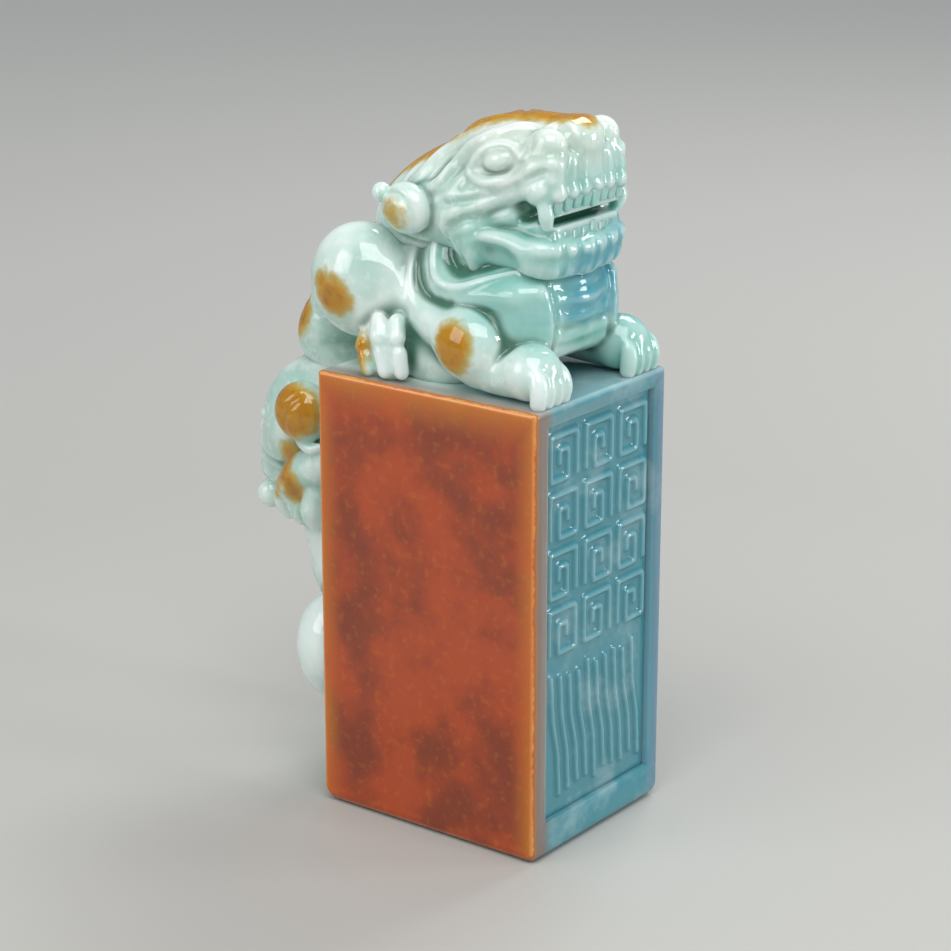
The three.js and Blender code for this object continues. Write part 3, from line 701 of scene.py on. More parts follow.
@dataclass(frozen=True)
class SkinnedJade:
    """Polished jadeite: a cloudy celadon body that turns blue towards the front, with iron stains.

    The stone is translucent, so its colour comes from light scattered a millimetre or two under a
    glassy surface. Creases and hollows get a painted shade of deeper green, and crests and thin
    edges a painted highlight. A stain is the rind's iron. It goes from a yellow fringe through
    orange to rust with brown flecks, and lies under the same gloss. On the block it covers one
    flank and ends in a greyish strip; towards the flank's ends and top a painted amber glow
    brightens it, as light coming in from the side would, and a painted highlight runs along those
    edges.

    The fields are colours, then lengths in millimetres along the drift from green to blue, shares
    that a layer covers, sizes of the noises' grains in millimetres, and the surface's gloss.
    `side_share` is what a millimetre across the stone counts along the drift, `core_span` how far
    inside a stain's outline its core sets in, and `gloss_span` from which values of the veins on
    the gloss changes. A noise's grains are GRAIN of its scale, and each finer grain has FINER of
    the last one's strength. GLOW is a rim's glow where it is full.
    """

    GRAIN = 0.5
    FINER = 0.55
    GLOW = 2.0

    name: str
    pale: str = "#E6F3EE"
    warm: str = "#EAE2D4"
    green: str = "#B6D6CB"
    aqua: str = "#6ABDB2"
    blue: str = "#3C9DB2"
    # Colour of the painted shade in creases and hollows.
    crease_shade_green: str = "#226A50"
    # Whitish mottling of the stone, also the colour of painted highlights on crests and on the
    # block's top face.
    frost_and_highlight: str = "#EFF7F3"
    fringe: str = "#BEA034"
    orange: str = "#C28A00"
    rust: str = "#925A00"
    # Colour of the painted glow towards the skin's ends and top.
    amber_glow: str = "#D08010"
    # Colour of the painted highlight along the block's edges.
    edge_highlight: str = "#F4BE78"
    fleck: str = "#7A4000"
    strip: str = "#8A7468"
    lilac: str = "#8890AC"
    aqua_from: float = -11.0
    aqua_to: float = 3.0
    blue_from: float = 4.5
    blue_to: float = 11.0
    cloud_drift: float = 14.0
    side_share: float = 0.5
    head_span: tuple[float, float] = (63.0, 79.0)
    head_pull: float = -25.0
    paw_span: tuple[float, float] = (58.0, 54.0)
    paw_pull: float = -15.0
    skin_side: float | None = None
    skin_steepness: float = 3.0
    raggedness: float = 1.3
    core_span: tuple[float, float] = (0.2, 0.9)
    amber_glow_rim: Rim = Rim((11.0, 15.5), (45.0, 51.5), 0.8)
    edge_highlight_rim: Rim = Rim((13.8, 14.6), (49.3, 50.2), 0.75)
    frost_cover: float = 0.5
    grain_cover: float = 0.4
    mist_cover: float = 0.16
    rust_cover: float = 0.28
    cloud_size: float = 7.0
    vein_size: float = 2.2
    speckle_size: float = 0.5
    ripple_size: float = 1.4
    ripple_depth: float = 0.3
    ripple_strength: float = 0.05
    glow_depth: float = 1.6
    glow_share: float = 0.75
    glow_colour: Place = (0.8, 1.0, 0.9)
    roughness: float = 0.06
    roughness_spread: tuple[float, float] = (0.7, 1.5)
    gloss_span: tuple[float, float] = (0.3, 0.7)
    ior: float = 1.66

    def read_place(self, tree: Tree) -> StonePlace:
        """Adds the nodes that read a place on the stone.

        Args:
            tree: Material's node tree.

        Returns:
            What they read.
        """
        node = partial(add_node, tree)
        metres = node("ShaderNodeTexCoord", output="Object")
        place = node("ShaderNodeVectorMath", {0: metres, "Scale": 1 / MM}, operation="SCALE")
        axes = [node("ShaderNodeSeparateXYZ", {"Vector": place}, output=axis) for axis in "XYZ"]
        noises = [
            node("ShaderNodeTexNoise",
                 {"Vector": place, "Scale": self.GRAIN / size, "Detail": detail,
                  "Roughness": self.FINER})
            for size, detail in (
                (self.cloud_size, 3.0), (self.vein_size, 4.0), (self.speckle_size, 2.0),
                (self.ripple_size, 2.0),
            )
        ]
        traits = [
            node("ShaderNodeAttribute", output="Fac", attribute_name=name)
            for name in ("relief", "mass", "stain")
        ]
        return StonePlace(*axes, *noises, *traits)

    def body_colour(self, tree: Tree, at: StonePlace) -> Socket:
        """Colours the stone under its skin.

        Args:
            tree: Material's node tree.
            at: What is read at each place.

        Returns:
            The colour.
        """
        node = partial(add_node, tree)
        head, paws = (
            node("ShaderNodeMapRange",
                 {"Value": at.height, "From Min": low, "From Max": high, "To Max": pull})
            for (low, high), pull in (
                (self.head_span, self.head_pull), (self.paw_span, self.paw_pull),
            )
        )
        level = node(MATH, {0: head, 1: paws}, operation="ADD")
        forward = node(
            MATH, {0: at.across, 1: self.side_share, 2: at.along}, operation="MULTIPLY_ADD"
        )
        front = node(MATH, {0: forward, 1: level}, operation="ADD")
        drift = node(
            MATH, {0: at.clouds, 1: self.cloud_drift, 2: front}, operation="MULTIPLY_ADD"
        )
        mean = self.cloud_drift / 2
        return lay(
            tree, linear(self.pale),
            Layer(at.clouds, 0.38, 0.62, 1.0, self.green),
            Layer(at.height, 68.0, 79.0, 0.45, self.warm),
            Layer(at.veins, 0.43, 0.64, self.frost_cover, self.frost_and_highlight),
            Layer(at.speckles, 0.52, 0.7, self.grain_cover, self.frost_and_highlight),
            Layer(drift, self.aqua_from + mean, self.aqua_to + mean, 0.72, self.aqua),
            Layer(drift, self.blue_from + mean, self.blue_to + mean, 0.8, self.blue),
            Layer(at.veins, 0.48, 0.7, self.mist_cover, self.frost_and_highlight),
            # Painted shade: creases and hollows darkened to a deep green.
            Layer(at.mass, 0.0, -0.12, 0.88, self.crease_shade_green),
            # Painted highlight: crests and thin edges whitened.
            Layer(at.relief, 0.02, 0.16, 0.5, self.frost_and_highlight),
        )

    def flank_colour(self, tree: Tree, at: StonePlace, body: Socket) -> tuple[Socket, Socket]:
        """Prepares a block whose flank keeps its skin.

        Args:
            tree: Material's node tree.
            at: What is read at each place.
            body: Colour of the stone so far.

        Returns:
            The stone with a greyish strip beside the skin, lilac on the far flank and a painted
            highlight that whitens the top face, and how near the skin a place is, as a "stain"
            attribute gives it.
        """
        body = lay(
            tree, body,
            Layer(at.across, self.skin_side + 3.2, self.skin_side + 1.2, 0.95, self.strip),
            Layer(at.across, -self.skin_side - 3.0, -self.skin_side, 0.5, self.lilac),
            # Painted highlight: the top face whitened as if lit from above.
            Layer(at.height, 49.4, 49.9, 0.25, self.frost_and_highlight),
        )
        start = self.skin_steepness * self.skin_side + STAIN_EDGE
        steepness = -self.skin_steepness
        stain = add_node(
            tree, MATH, {0: at.across, 1: steepness, 2: start}, operation="MULTIPLY_ADD"
        )
        return body, stain

    def skin_colour(self, tree: Tree, at: StonePlace, body: Socket, stain: Socket) -> Socket:
        """Lays the skin over the stone.

        Args:
            tree: Material's node tree.
            at: What is read at each place.
            body: Colour of the stone under the skin.
            stain: How near a stain a place is.

        Returns:
            The colour of stone and skin.
        """
        node = partial(add_node, tree)
        grains = node(MATH, {0: at.veins, 1: at.speckles}, operation="ADD")
        skin = node(MATH, {0: grains, 1: self.raggedness, 2: stain}, operation="MULTIPLY_ADD")
        edge = STAIN_EDGE + self.raggedness
        start, full = (edge + depth for depth in self.core_span)
        inside = node("ShaderNodeMapRange", {"Value": skin, "From Min": start, "From Max": full})
        mottle = node(MATH, {0: at.clouds, 1: at.veins}, operation="ADD")
        rusted, flecked = (
            node(MATH, {0: inside, 1: pattern}, operation="MULTIPLY")
            for pattern in (mottle, at.speckles)
        )
        colour = lay(
            tree, body,
            Layer(skin, edge - 0.9, edge + 0.1, 0.9, self.fringe),
            Layer(skin, edge - 0.1, edge + 0.7, 1.0, self.orange),
            Layer(rusted, 0.85, 1.2, self.rust_cover, self.rust),
            Layer(flecked, 0.54, 0.68, 0.25, self.fleck),
        )
        if self.skin_side is None:
            return colour
        # Painted light: an amber glow towards the skin's ends and top, and a painted highlight
        # along the block's edges.
        ends = node(MATH, {0: at.along}, operation="ABSOLUTE")
        for rim, pattern, shade in (
            (self.amber_glow_rim, rusted, self.amber_glow), (self.edge_highlight_rim, inside, self.edge_highlight),
        ):
            near_end, near_top = (
                node("ShaderNodeMapRange",
                     {"Value": value, "From Min": low, "From Max": high, "To Max": self.GLOW})
                for value, (low, high) in ((ends, rim.ends), (at.height, rim.top))
            )
            nearest = node(MATH, {0: near_end, 1: near_top}, operation="MAXIMUM")
            glow = node(MATH, {0: nearest, 1: pattern}, operation="MULTIPLY")
            colour = lay(tree, colour, Layer(glow, 0.1, self.GLOW, rim.cover, shade))
        return colour

    def build(self) -> bpy.types.Material:
        """Makes the material."""
        material = bpy.data.materials.new(self.name)
        material.use_nodes = True
        tree = material.node_tree
        tree.nodes.clear()
        node = partial(add_node, tree)
        at = self.read_place(tree)
        body, stain = self.body_colour(tree, at), at.stain
        if self.skin_side is not None:
            body, stain = self.flank_colour(tree, at, body)
        low, high = self.gloss_span
        smoothest, roughest = (self.roughness * share for share in self.roughness_spread)
        gloss = node("ShaderNodeMapRange", {
            "Value": at.veins, "From Min": low, "From Max": high,
            "To Min": smoothest, "To Max": roughest,
        })
        bump = node("ShaderNodeBump", {
            "Strength": self.ripple_strength, "Distance": self.ripple_depth * MM,
            "Height": at.ripple,
        })
        shader = node("ShaderNodeBsdfPrincipled", {
            "Base Color": self.skin_colour(tree, at, body, stain),
            "Roughness": gloss,
            "IOR": self.ior,
            "Subsurface Weight": self.glow_share,
            "Subsurface Radius": self.glow_colour,
            "Subsurface Scale": self.glow_depth * MM,
            "Normal": bump,
        })
        node("ShaderNodeOutputMaterial", {"Surface": shader})
        return material


def dress(piece: bpy.types.Object, material: bpy.types.Material, slot: str, *nodes: str) -> None:
    """Gives a piece its material and its place in the frame.

    Args:
        piece: Finished mesh object.
        material: Material for the whole piece.
        slot: Slot that the finish belongs to; not used.
        nodes: Solids that the piece stands for.
    """
    piece.data.materials.clear()
    piece.data.materials.append(material)
    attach(piece, BODY)
    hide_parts(*nodes)
    triangles = sum(len(polygon.vertices) - 2 for polygon in piece.data.polygons)
    log.info("%s: %d triangles, stands for %s", piece.name, triangles, ", ".join(nodes))


@dataclass(frozen=True)
class Block:
    """Sizes of the block, in millimetres, taken from the frame.

    What a figure leaves free for the block is cut DEPTH deep.
    """

    DEPTH = 20.0

    front: float
    back: float
    side: float
    top: float

    @staticmethod
    def from_frame() -> Block:
        """Measures the block in the frame."""
        low, high = (np.array(corner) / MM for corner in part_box("seal_block"))
        return Block(high[0], low[0], high[1], high[2])

    def below(self, sunk: float) -> Slab:
        """Gives the stone under the top face, seen from its middle, for a figure sunk so deep."""
        half = self.DEPTH / 2
        length = self.front - self.back
        return Slab(
            ((self.front + self.back) / 2, 0, -half - sunk), (length / 2, self.side, half)
        )

    def behind(self, sunk: float) -> Slab:
        """Gives the stone in front of the back face, seen from its top edge."""
        half = self.DEPTH / 2
        return Slab((half + sunk, 0, -3 * half), (half, self.side, 3 * half))


class Detail(Enum):
    FINE = 1.0
    COARSE = 1.7


@dataclass(frozen=True)
class BeastHead:
    """Head of the beast: skull, muzzle and jaws, with eyes, brows, nose, ears and mane.

    Places are (x, y, z) from the middle of the block's top face. Lines on the flanks are (x, z,
    radius), and lines on the front or back are (y, z, radius).
    """

    step: float = 0.165
    skull: Ball = Ball((-3.0, 0.0, 18.3), (12.4, 7.0, 6.2), (0, -25, 0))
    cheeks: Ball = Ball((0.5, 0.0, 18.2), (7.4, 7.6, 4.8), (0, -20, 0))
    bridge: Ball = Ball((4.4, 0.0, 24.0), (6.4, 6.0, 3.7), (0, -10, 0))
    muzzle: Slab = Slab((7.0, 0.0, 23.0), (5.2, 6.9, 3.3), (0, -3, 0), 2.5)
    curtain: Slab = Slab((9.6, 0.0, 23.1), (3.3, 6.6, 2.3), rounding=1.3)
    gum_block: Slab = Slab((6.3, 0.0, 18.2), (6.0, 6.1, 3.2), rounding=1.1)
    jaw: Slab = Slab((5.2, 0.0, 14.8), (6.4, 6.6, 2.2), (0, 2, 0), 2.0)
    eye: Ball = Ball((5.5, -5.9, 24.2), (2.1, 1.5, 1.25), (0, -12, 0))
    nose_wing: Ball = Ball((10.6, -4.7, 26.1), (1.9, 1.6, 1.7), (0, 8, 0))
    nose_tip: Ball = Ball((11.0, 0.0, 26.1), (2.4, 3.2, 2.4), (0, 8, 0))
    ear: Ball = Ball((-5.3, -7.8, 18.1), (3.0, 2.0, 2.75), (0, 15, 0))
    ear_knob: Ball = Ball((-8.9, -7.5, 19.3), (1.1, 1.0, 1.1))
    stains: tuple[Form, ...] = (
        Strand(((-12.6, -0.8, 20.4, 3.2), (-9.8, -0.9, 23.2, 3.6), (-6.0, -0.9, 25.8, 3.6),
                (-2.0, -0.6, 27.8, 3.3), (2.4, 0, 29.0, 3.0), (6.4, 0, 29.8, 2.8),
                (9.6, 0, 30.0, 2.8), (11.8, 0, 29.6, 2.0))),
        Ball((-6.9, -10.25, 16.4), (2.7, 0.7, 2.4)),
    )

    def shape_masses(self, clay: Clay) -> None:
        """Joins skull, cheeks, bridge, muzzle and jaw softly."""
        clay.add(self.skull)
        clay.add(self.muzzle, 2.2)
        clay.add(self.bridge, 2.0)
        clay.add(self.cheeks, 2.0)
        clay.add(Strand(((0, 0, 24.0, 3.0), (5, 0, 25.4, 2.5), (10.2, 0, 26.2, 2.3))), 1.6)
        clay.add(self.jaw, 1.2)
        clay.add(self.gum_block, 0.6)
        clay.add(self.curtain, 0.8)

    def shape_mouth(self, clay: Clay) -> None:
        """Models the lips, gums, corner pillars and the openings of the mouth."""
        jaw = (
            (6.4, -6.4, 14.8, 1.2), (9.2, -6.6, 14.3, 1.4), (11.0, -5.7, 13.8, 1.4),
            (11.5, -3.0, 13.6, 1.4), (11.6, 0.0, 13.6, 1.4),
        )
        edge = (
            (1.0, -6.7, 15.5, 0.6), (4.3, -7.0, 16.1, 0.9), (7.6, -7.0, 16.0, 1.0),
            (9.6, -7.0, 15.6, 1.0), (11.6, -6.4, 15.6, 0.9), (12.4, -3.2, 15.3, 0.9),
            (12.6, 0.0, 15.2, 0.9),
        )
        clay.add(Strand(jaw), 1.0, paired=True)
        clay.add(Strand(edge), 1.0, paired=True)
        for y in (-5.0, -2.6, 0.0, 2.6, 5.0):
            clay.groove((
                (y, 15.8, 0.2), (y * 0.98, 14.4, 0.5), (y * 0.94, 12.8, 0.2),
            ), 0.15, 0.6, side=Side.FRONT)
        clay.cut(Slab((12.2, 0, 18.4), (2.2, 5.9, 0.5), rounding=0.35), 0.2)
        clay.cut(Ball((9.0, -7.4, 19.2), (2.1, 2.9, 1.45), (0, -10, 0)), 0.4, paired=True)
        pillar = (
            (10.6, -6.2, 21.8, 1.3), (11.4, -6.6, 20.4, 0.8), (11.7, -6.6, 19.1, 0.8),
            (11.6, -6.4, 18.2, 0.6),
        )
        clay.add(Strand(pillar), 0.6, paired=True)
        for y in (-5.4, -3.2, -1.1, 1.1, 3.2, 5.4):
            clay.add(Ball((12.2, y, 21.3), (0.9, 1.2, 0.9)), 0.5)

    def shape_muzzle(self, clay: Clay) -> None:
        """Folds the muzzle: curtains in front, wrinkles and cheek folds on its flanks."""
        for y in (-4.3, -2.2, 2.2, 4.3):
            clay.groove((
                (y * 0.9, 24.6, 0.4), (y, 23.4, 0.6), (y * 1.02, 22.0, 0.4),
            ), depth=0.2, blend=0.6, side=Side.FRONT)
        clay.ridge((
            (12.0, 24.6, 0.6), (10.5, 24.1, 0.9), (9.1, 23.1, 1.1), (6.7, 22.0, 1.1),
            (3.3, 20.7, 1.0), (0.3, 20.0, 0.5),
        ), 0.4)
        clay.ridge((
            (12.0, 22.9, 0.7), (9.8, 21.7, 1.0), (6.4, 20.4, 1.1), (2.9, 19.2, 1.0),
            (-0.5, 18.1, 0.5),
        ), 0.4)
        clay.groove((
            (11.4, 23.7, 0.4), (9.5, 22.4, 0.5), (6.6, 21.2, 0.5), (3.0, 19.9, 0.5),
            (0.0, 19.1, 0.3),
        ), 0.3)
        clay.groove(((8.9, 24.4, 0.3), (7.6, 23.2, 0.5), (5.2, 21.5, 0.5), (2.8, 21.2, 0.3)), 0.3)
        clay.ridge((
            (11.6, 21.8, 0.6), (10.1, 20.6, 0.8), (7.7, 19.0, 0.9), (4.7, 17.8, 0.9),
            (1.8, 16.8, 0.7), (0.2, 16.0, 0.4),
        ), 0.45)
        clay.ridge((
            (1.3, 18.6, 0.5), (0.1, 17.8, 0.7), (-0.8, 16.8, 0.7), (-0.7, 15.6, 0.4),
        ), 0.35)

    def shape_jaw_side(self, clay: Clay) -> None:
        """Scoops the jaw's flank and lays the pointed cheek tuft over it."""
        clay.cut(Ball((5.8, -9.0, 14.0), (3.8, 2.5, 1.9), (0, 8, 0)), 1.0, paired=True)
        clay.add(Strand((
            (2.4, -6.1, 16.3, 1.4), (2.4, -6.1, 14.9, 1.6), (2.4, -6.0, 13.6, 1.2),
            (2.3, -5.8, 12.4, 0.7),
        )), 0.8, paired=True)
        clay.ridge(((0.1, 15.4, 0.3), (0.7, 14.2, 0.4), (1.2, 12.8, 0.3)), 0.25)

    def shape_nose(self, clay: Clay) -> None:
        """Sets the three lobes of the nose on the muzzle's front."""
        clay.add(self.nose_wing, 0.8, paired=True)
        clay.add(self.nose_tip, 0.5)
        clay.ridge((
            (8.8, 25.4, 0.3), (9.0, 27.0, 0.4), (10.2, 28.0, 0.5), (11.6, 27.9, 0.4),
            (12.4, 27.0, 0.2),
        ), 0.25)

    def shape_eyes(self, clay: Clay) -> None:
        """Sinks the eye sockets and fills them with eyeballs under soft lids."""
        clay.cut(Ball((5.4, -7.7, 24.1), (3.0, 1.4, 1.9), (0, -12, 0)), 0.8, paired=True)
        clay.add(self.eye, 0.15, paired=True)
        clay.ridge((
            (1.9, 22.4, 0.3), (2.5, 23.8, 0.5), (4.0, 25.2, 0.6), (5.8, 25.9, 0.6),
            (7.4, 25.7, 0.5), (8.6, 24.8, 0.3),
        ), 0.4, 0.3)
        clay.ridge((
            (1.6, 23.0, 0.3), (2.4, 22.3, 0.5), (4.5, 21.9, 0.6), (6.9, 22.5, 0.5),
            (8.4, 23.8, 0.3),
        ), 0.35, 0.3)

    def shape_locks(self, clay: Clay) -> None:
        """Sweeps the brow locks from the bridge back along the skull."""
        clay.ridge((
            (9.0, 27.2, 0.3), (6.0, 27.3, 0.8), (2.8, 26.1, 1.0), (0.5, 24.2, 1.0),
            (-0.9, 22.4, 0.8), (-1.7, 21.0, 0.3),
        ), 0.6)
        clay.ridge((
            (5.0, 28.0, 0.3), (2.0, 27.4, 0.8), (-0.9, 25.9, 1.0), (-3.4, 23.7, 1.0),
            (-5.0, 21.5, 0.8), (-5.6, 20.4, 0.4),
        ), 0.5)
        clay.groove((
            (6.0, 27.9, 0.25), (3.0, 26.9, 0.4), (0.2, 25.1, 0.45), (-1.8, 23.0, 0.45),
            (-3.2, 20.9, 0.35),
        ), 0.35)
        clay.groove((
            (4.0, 28.2, 0.25), (0.4, 27.1, 0.4), (-3.0, 25.1, 0.45), (-5.8, 22.6, 0.45),
            (-7.2, 20.6, 0.35),
        ), 0.3)
        clay.ridge((
            (-4.4, 20.3, 0.3), (-3.0, 20.6, 0.5), (-1.6, 21.6, 0.5), (-0.9, 22.8, 0.2),
        ), 0.3)
        clay.ridge(((-1.4, 19.4, 0.3), (0.2, 20.6, 0.7), (1.2, 22.2, 0.3)), 0.3)

    def shape_mane(self, clay: Clay) -> None:
        """Cuts the mane's locks down the back of the head."""
        for y in (-5.6, -3.4, -1.15, 1.15, 3.4, 5.6):
            clay.groove((
                (y * 0.6, 22.4, 0.25), (y * 0.85, 19.6, 0.6), (y, 16.6, 0.7),
                (y * 1.02, 13.6, 0.4),
            ), 0.35, 0.4, side=Side.BACK)

    def shape_ears(self, clay: Clay) -> None:
        """Sets the curled ears with the knob at the back of each."""
        clay.add(self.ear, 0.3, paired=True)
        clay.add(self.ear_knob, 0.25, paired=True)
        clay.groove((
            (-7.5, 19.8, 0.25), (-5.9, 19.9, 0.4), (-4.4, 19.3, 0.45), (-3.6, 18.2, 0.4),
            (-3.4, 16.9, 0.25),
        ), 0.35)

    def build(self, block: Block, detail: Detail, jade: bpy.types.Material) -> None:
        """Sculpts and dresses the head."""
        clay = Clay((-17, -11, 9), (16, 11, 31), self.step * detail.value)
        self.shape_masses(clay)
        self.shape_mouth(clay)
        self.shape_jaw_side(clay)
        self.shape_muzzle(clay)
        self.shape_locks(clay)
        self.shape_eyes(clay)
        self.shape_nose(clay)
        self.shape_mane(clay)
        self.shape_ears(clay)
        piece = clay.to_object("beast_head", (0, 0, block.top), self.stains)
        dress(
            piece, jade, "celadon_jade", "head", "lower_jaw", "tongue", "nose", "left_eye",
            "right_eye", "left_brow", "right_brow", "left_ear", "right_ear",
        )


@dataclass(frozen=True)
class BeastBody:
    """Body of the crouching beast: trunk, chest, neck folds, legs and tail.

    It goes into the block by what it is sunk, so that no gap shows under it.
    """

    step: float = 0.21
    sunk: float = 0.4
    trunk: Ball = Ball((-3.0, 0.0, 7.0), (12.0, 8.0, 6.6))
    rump: Ball = Ball((-11.5, 0.0, 8.2), (8.0, 7.4, 6.6))
    chest: Slab = Slab((5.6, 0.0, 7.9), (6.2, 8.2, 5.3), rounding=3.4)
    breast: Ball = Ball((8.4, -5.3, 7.8), (3.5, 3.1, 4.4))
    neck: Ball = Ball((0.5, 0.0, 12.6), (9.4, 6.7, 4.8))
    shoulder: Ball = Ball((-4.6, -4.4, 9.4), (4.5, 2.9, 5.0))
    collar: Ball = Ball((-0.8, -5.4, 9.6), (3.0, 2.6, 2.8))
    flank: Ball = Ball((-7.2, -5.4, 6.6), (5.6, 3.5, 6.2))
    belly: Ball = Ball((-2.6, -5.4, 3.0), (5.6, 3.7, 4.8))
    haunch: Ball = Ball((-12.4, -6.4, 9.2), (6.2, 4.8, 6.3), (0, -15, 0))
    elbow: Ball = Ball((3.7, -8.2, 4.9), (4.6, 3.5, 4.0), (0, 20, 0))
    paw: Ball = Ball((11.2, -8.0, 3.1), (3.1, 3.0, 3.0))
    toe_bend: float = 0.45
    stains: tuple[Form, ...] = (
        Ball((-12.9, -10.9, 8.1), (2.2, 2.0, 2.0)),
        Ball((-14.4, -10.2, 9.4), (1.2, 1.6, 1.0)),
        Ball((3.2, -11.4, 5.1), (2.3, 2.0, 2.6)),
        Ball((-9.2, -11.0, 1.8), (0.9, 1.4, 2.6)),
        Ball((-24.8, -2.4, 2.8), (2.2, 4.0, 2.2)),
        Strand(((-8.0, 0, 15.8, 1.2), (-12.0, 0, 15.6, 1.8), (-16.5, 0, 14.0, 1.6),
                (-19.5, 0, 11.4, 1.0))),
    )

    def shape_masses(self, clay: Clay) -> None:
        """Joins trunk, rump, chest and neck softly."""
        clay.add(self.trunk)
        clay.add(self.rump, 3.0)
        clay.add(self.chest, 2.4)
        clay.add(self.neck, 2.0)
        clay.add(Strand(((5.0, 0, 9.0, 6.0), (8.6, 0, 9.4, 4.2))), 1.5)
        clay.add(self.shoulder, 1.5, paired=True)
        clay.add(self.belly, 1.5, paired=True)
        clay.add(self.collar, 1.5, paired=True)
        clay.add(self.breast, 1.2, paired=True)

    def shape_hindquarters(self, clay: Clay) -> None:
        """Sets the haunches and the hind feet with their bent toes."""
        clay.add(self.haunch, 0.5, paired=True)
        clay.add(self.flank, 1.6, paired=True)
        clay.add(Strand((
            (-8.0, -8.6, 4.6, 1.9), (-6.8, -9.2, 3.8, 2.0), (-6.2, -9.2, 1.4, 1.9),
        )), 0.5, paired=True)
        toes = (
            ((-9.6, -9.4, 4.4, 0.75), (-9.4, -10.3, 3.2, 0.85), (-8.3, -10.8, 0.9, 0.8)),
            ((-7.6, -9.7, 6.0, 0.9), (-7.0, -10.5, 4.6, 1.0), (-5.9, -10.9, 1.1, 0.85)),
            ((-5.5, -9.4, 6.2, 0.85), (-4.9, -10.1, 4.6, 0.95), (-4.0, -10.5, 1.1, 0.8)),
        )
        for root, knuckle, tip in toes:
            middle = tuple(a + self.toe_bend * (b - a) for a, b in zip(knuckle, tip))
            clay.add(Strand((root, knuckle)), 0.45, paired=True)
            clay.add(Strand((middle, tip)), 0.4, paired=True)

    def shape_forelegs(self, clay: Clay) -> None:
        """Sets upper arms, elbows, forearms and paws with four toes each."""
        clay.add(self.elbow, 0.45, paired=True)
        clay.add(Strand((
            (-4.4, -6.2, 8.4, 1.7), (-2.8, -7.2, 6.8, 2.1), (0.6, -8.2, 5.8, 2.4),
        )), 0.7, paired=True)
        clay.add(Strand((
            (4.5, -8.1, 2.3, 2.0), (8.0, -8.2, 2.4, 2.3), (10.8, -8.0, 2.9, 2.7),
        )), 0.6, paired=True)
        clay.add(self.paw, 0.5, paired=True)
        for y in (-10.2, -8.8, -7.4, -6.0):
            side = (y + 8.1) * 0.8 - 8.1
            toe = Strand((
                (12.6, side, 3.9, 0.7), (13.3, (side + y) / 2, 3.0, 0.95),
                (13.6, y, 1.8, 1.0), (13.5, y, 0.6, 0.9),
            ))
            clay.add(toe, 0.2, paired=True)

    def shape_neck(self, clay: Clay) -> None:
        """Lays the two thin neck folds and hollows the stone beside them."""
        clay.groove((
            (-1.4, 15.0, 0.9), (-0.8, 13.5, 1.2), (0.8, 12.4, 1.2), (3.2, 12.9, 1.0),
            (6.0, 13.8, 0.7),
        ), 0.9, 0.7)
        clay.ridge((
            (0.5, 9.2, 0.7), (4.0, 10.0, 1.3), (8.0, 10.8, 1.4), (11.0, 11.2, 0.8),
        ), 0.5, 0.8)
        clay.ridge((
            (-3.1, 15.2, 0.4), (-2.8, 13.4, 0.5), (-2.0, 11.7, 0.5), (-0.4, 10.7, 0.5),
            (1.8, 10.7, 0.5), (5.3, 11.9, 0.5), (8.7, 12.9, 0.4), (11.4, 13.0, 0.3),
        ), 0.5, 0.3)
        clay.groove((
            (-5.6, 15.2, 1.2), (-5.2, 12.9, 1.7), (-4.4, 10.9, 1.7), (-3.2, 9.3, 1.3),
            (-1.4, 8.6, 0.9), (1.0, 9.0, 0.5),
        ), 0.9, 0.6)
        clay.ridge((
            (-6.4, 14.7, 0.3), (-5.9, 12.5, 0.4), (-5.3, 10.5, 0.45), (-4.3, 8.7, 0.45),
            (-2.7, 7.7, 0.45), (-0.9, 7.6, 0.4), (2.4, 8.7, 0.3),
        ), 0.45, 0.25)

    def shape_chest(self, clay: Clay) -> None:
        """Parts the chest's flanks from its banded front and hollows the space below it."""
        clay.cut(Ball((12.4, 0, 0.6), (4.2, 6.4, 2.9)), 0.6)
        for y in (-4.9, 4.9):
            clay.groove((
                (y * 1.1, 12.4, 0.4), (y * 1.04, 9.6, 0.6), (y, 7.0, 0.6), (y * 1.06, 4.4, 0.4),
            ), 0.4, side=Side.FRONT)
        for z in (5.2, 7.2, 9.2, 11.2):
            clay.groove((
                (-4.5, z, 0.2), (-2.6, z - 0.4, 0.5), (0, z - 0.5, 0.6), (2.6, z - 0.4, 0.5),
                (4.5, z, 0.2),
            ), 0.16, 0.5, side=Side.FRONT)

    def shape_tail(self, clay: Clay) -> None:
        """Hangs the tail over the block's back edge in two lobes."""
        clay.add(Strand(((-14, 0, 9.2, 4.6), (-18.2, 0, 7.2, 4.2), (-20.8, 0, 4.6, 3.6))), 1.0)
        clay.add(Strand(((-21.8, 0, 2.0, 3.8), (-22.5, 0, 0.2, 3.7), (-20.6, 0, -2.0, 3.0))), 0.3)
        for y in (-2.6, -0.9, 0.9, 2.6):
            clay.groove((
                (y * 0.7, 9.4, 0.2), (y, 6.8, 0.5), (y * 0.9, 4.2, 0.2),
            ), 0.3, side=Side.BACK)
            clay.groove((
                (y * 0.9, 2.4, 0.2), (y * 0.9, 0.4, 0.5), (y * 0.6, -1.6, 0.2),
            ), 0.3, side=Side.BACK)

    def shape_spine(self, clay: Clay) -> None:
        """Raises the spine between the haunches as a row of low knuckles."""
        for place in range(6):
            x = -6.5 - 1.9 * place
            height = 15.0 - 0.12 * place ** 2
            clay.add(Ball((x, 0, height - 0.9), (1.0, 1.5, 0.9)), 0.5)

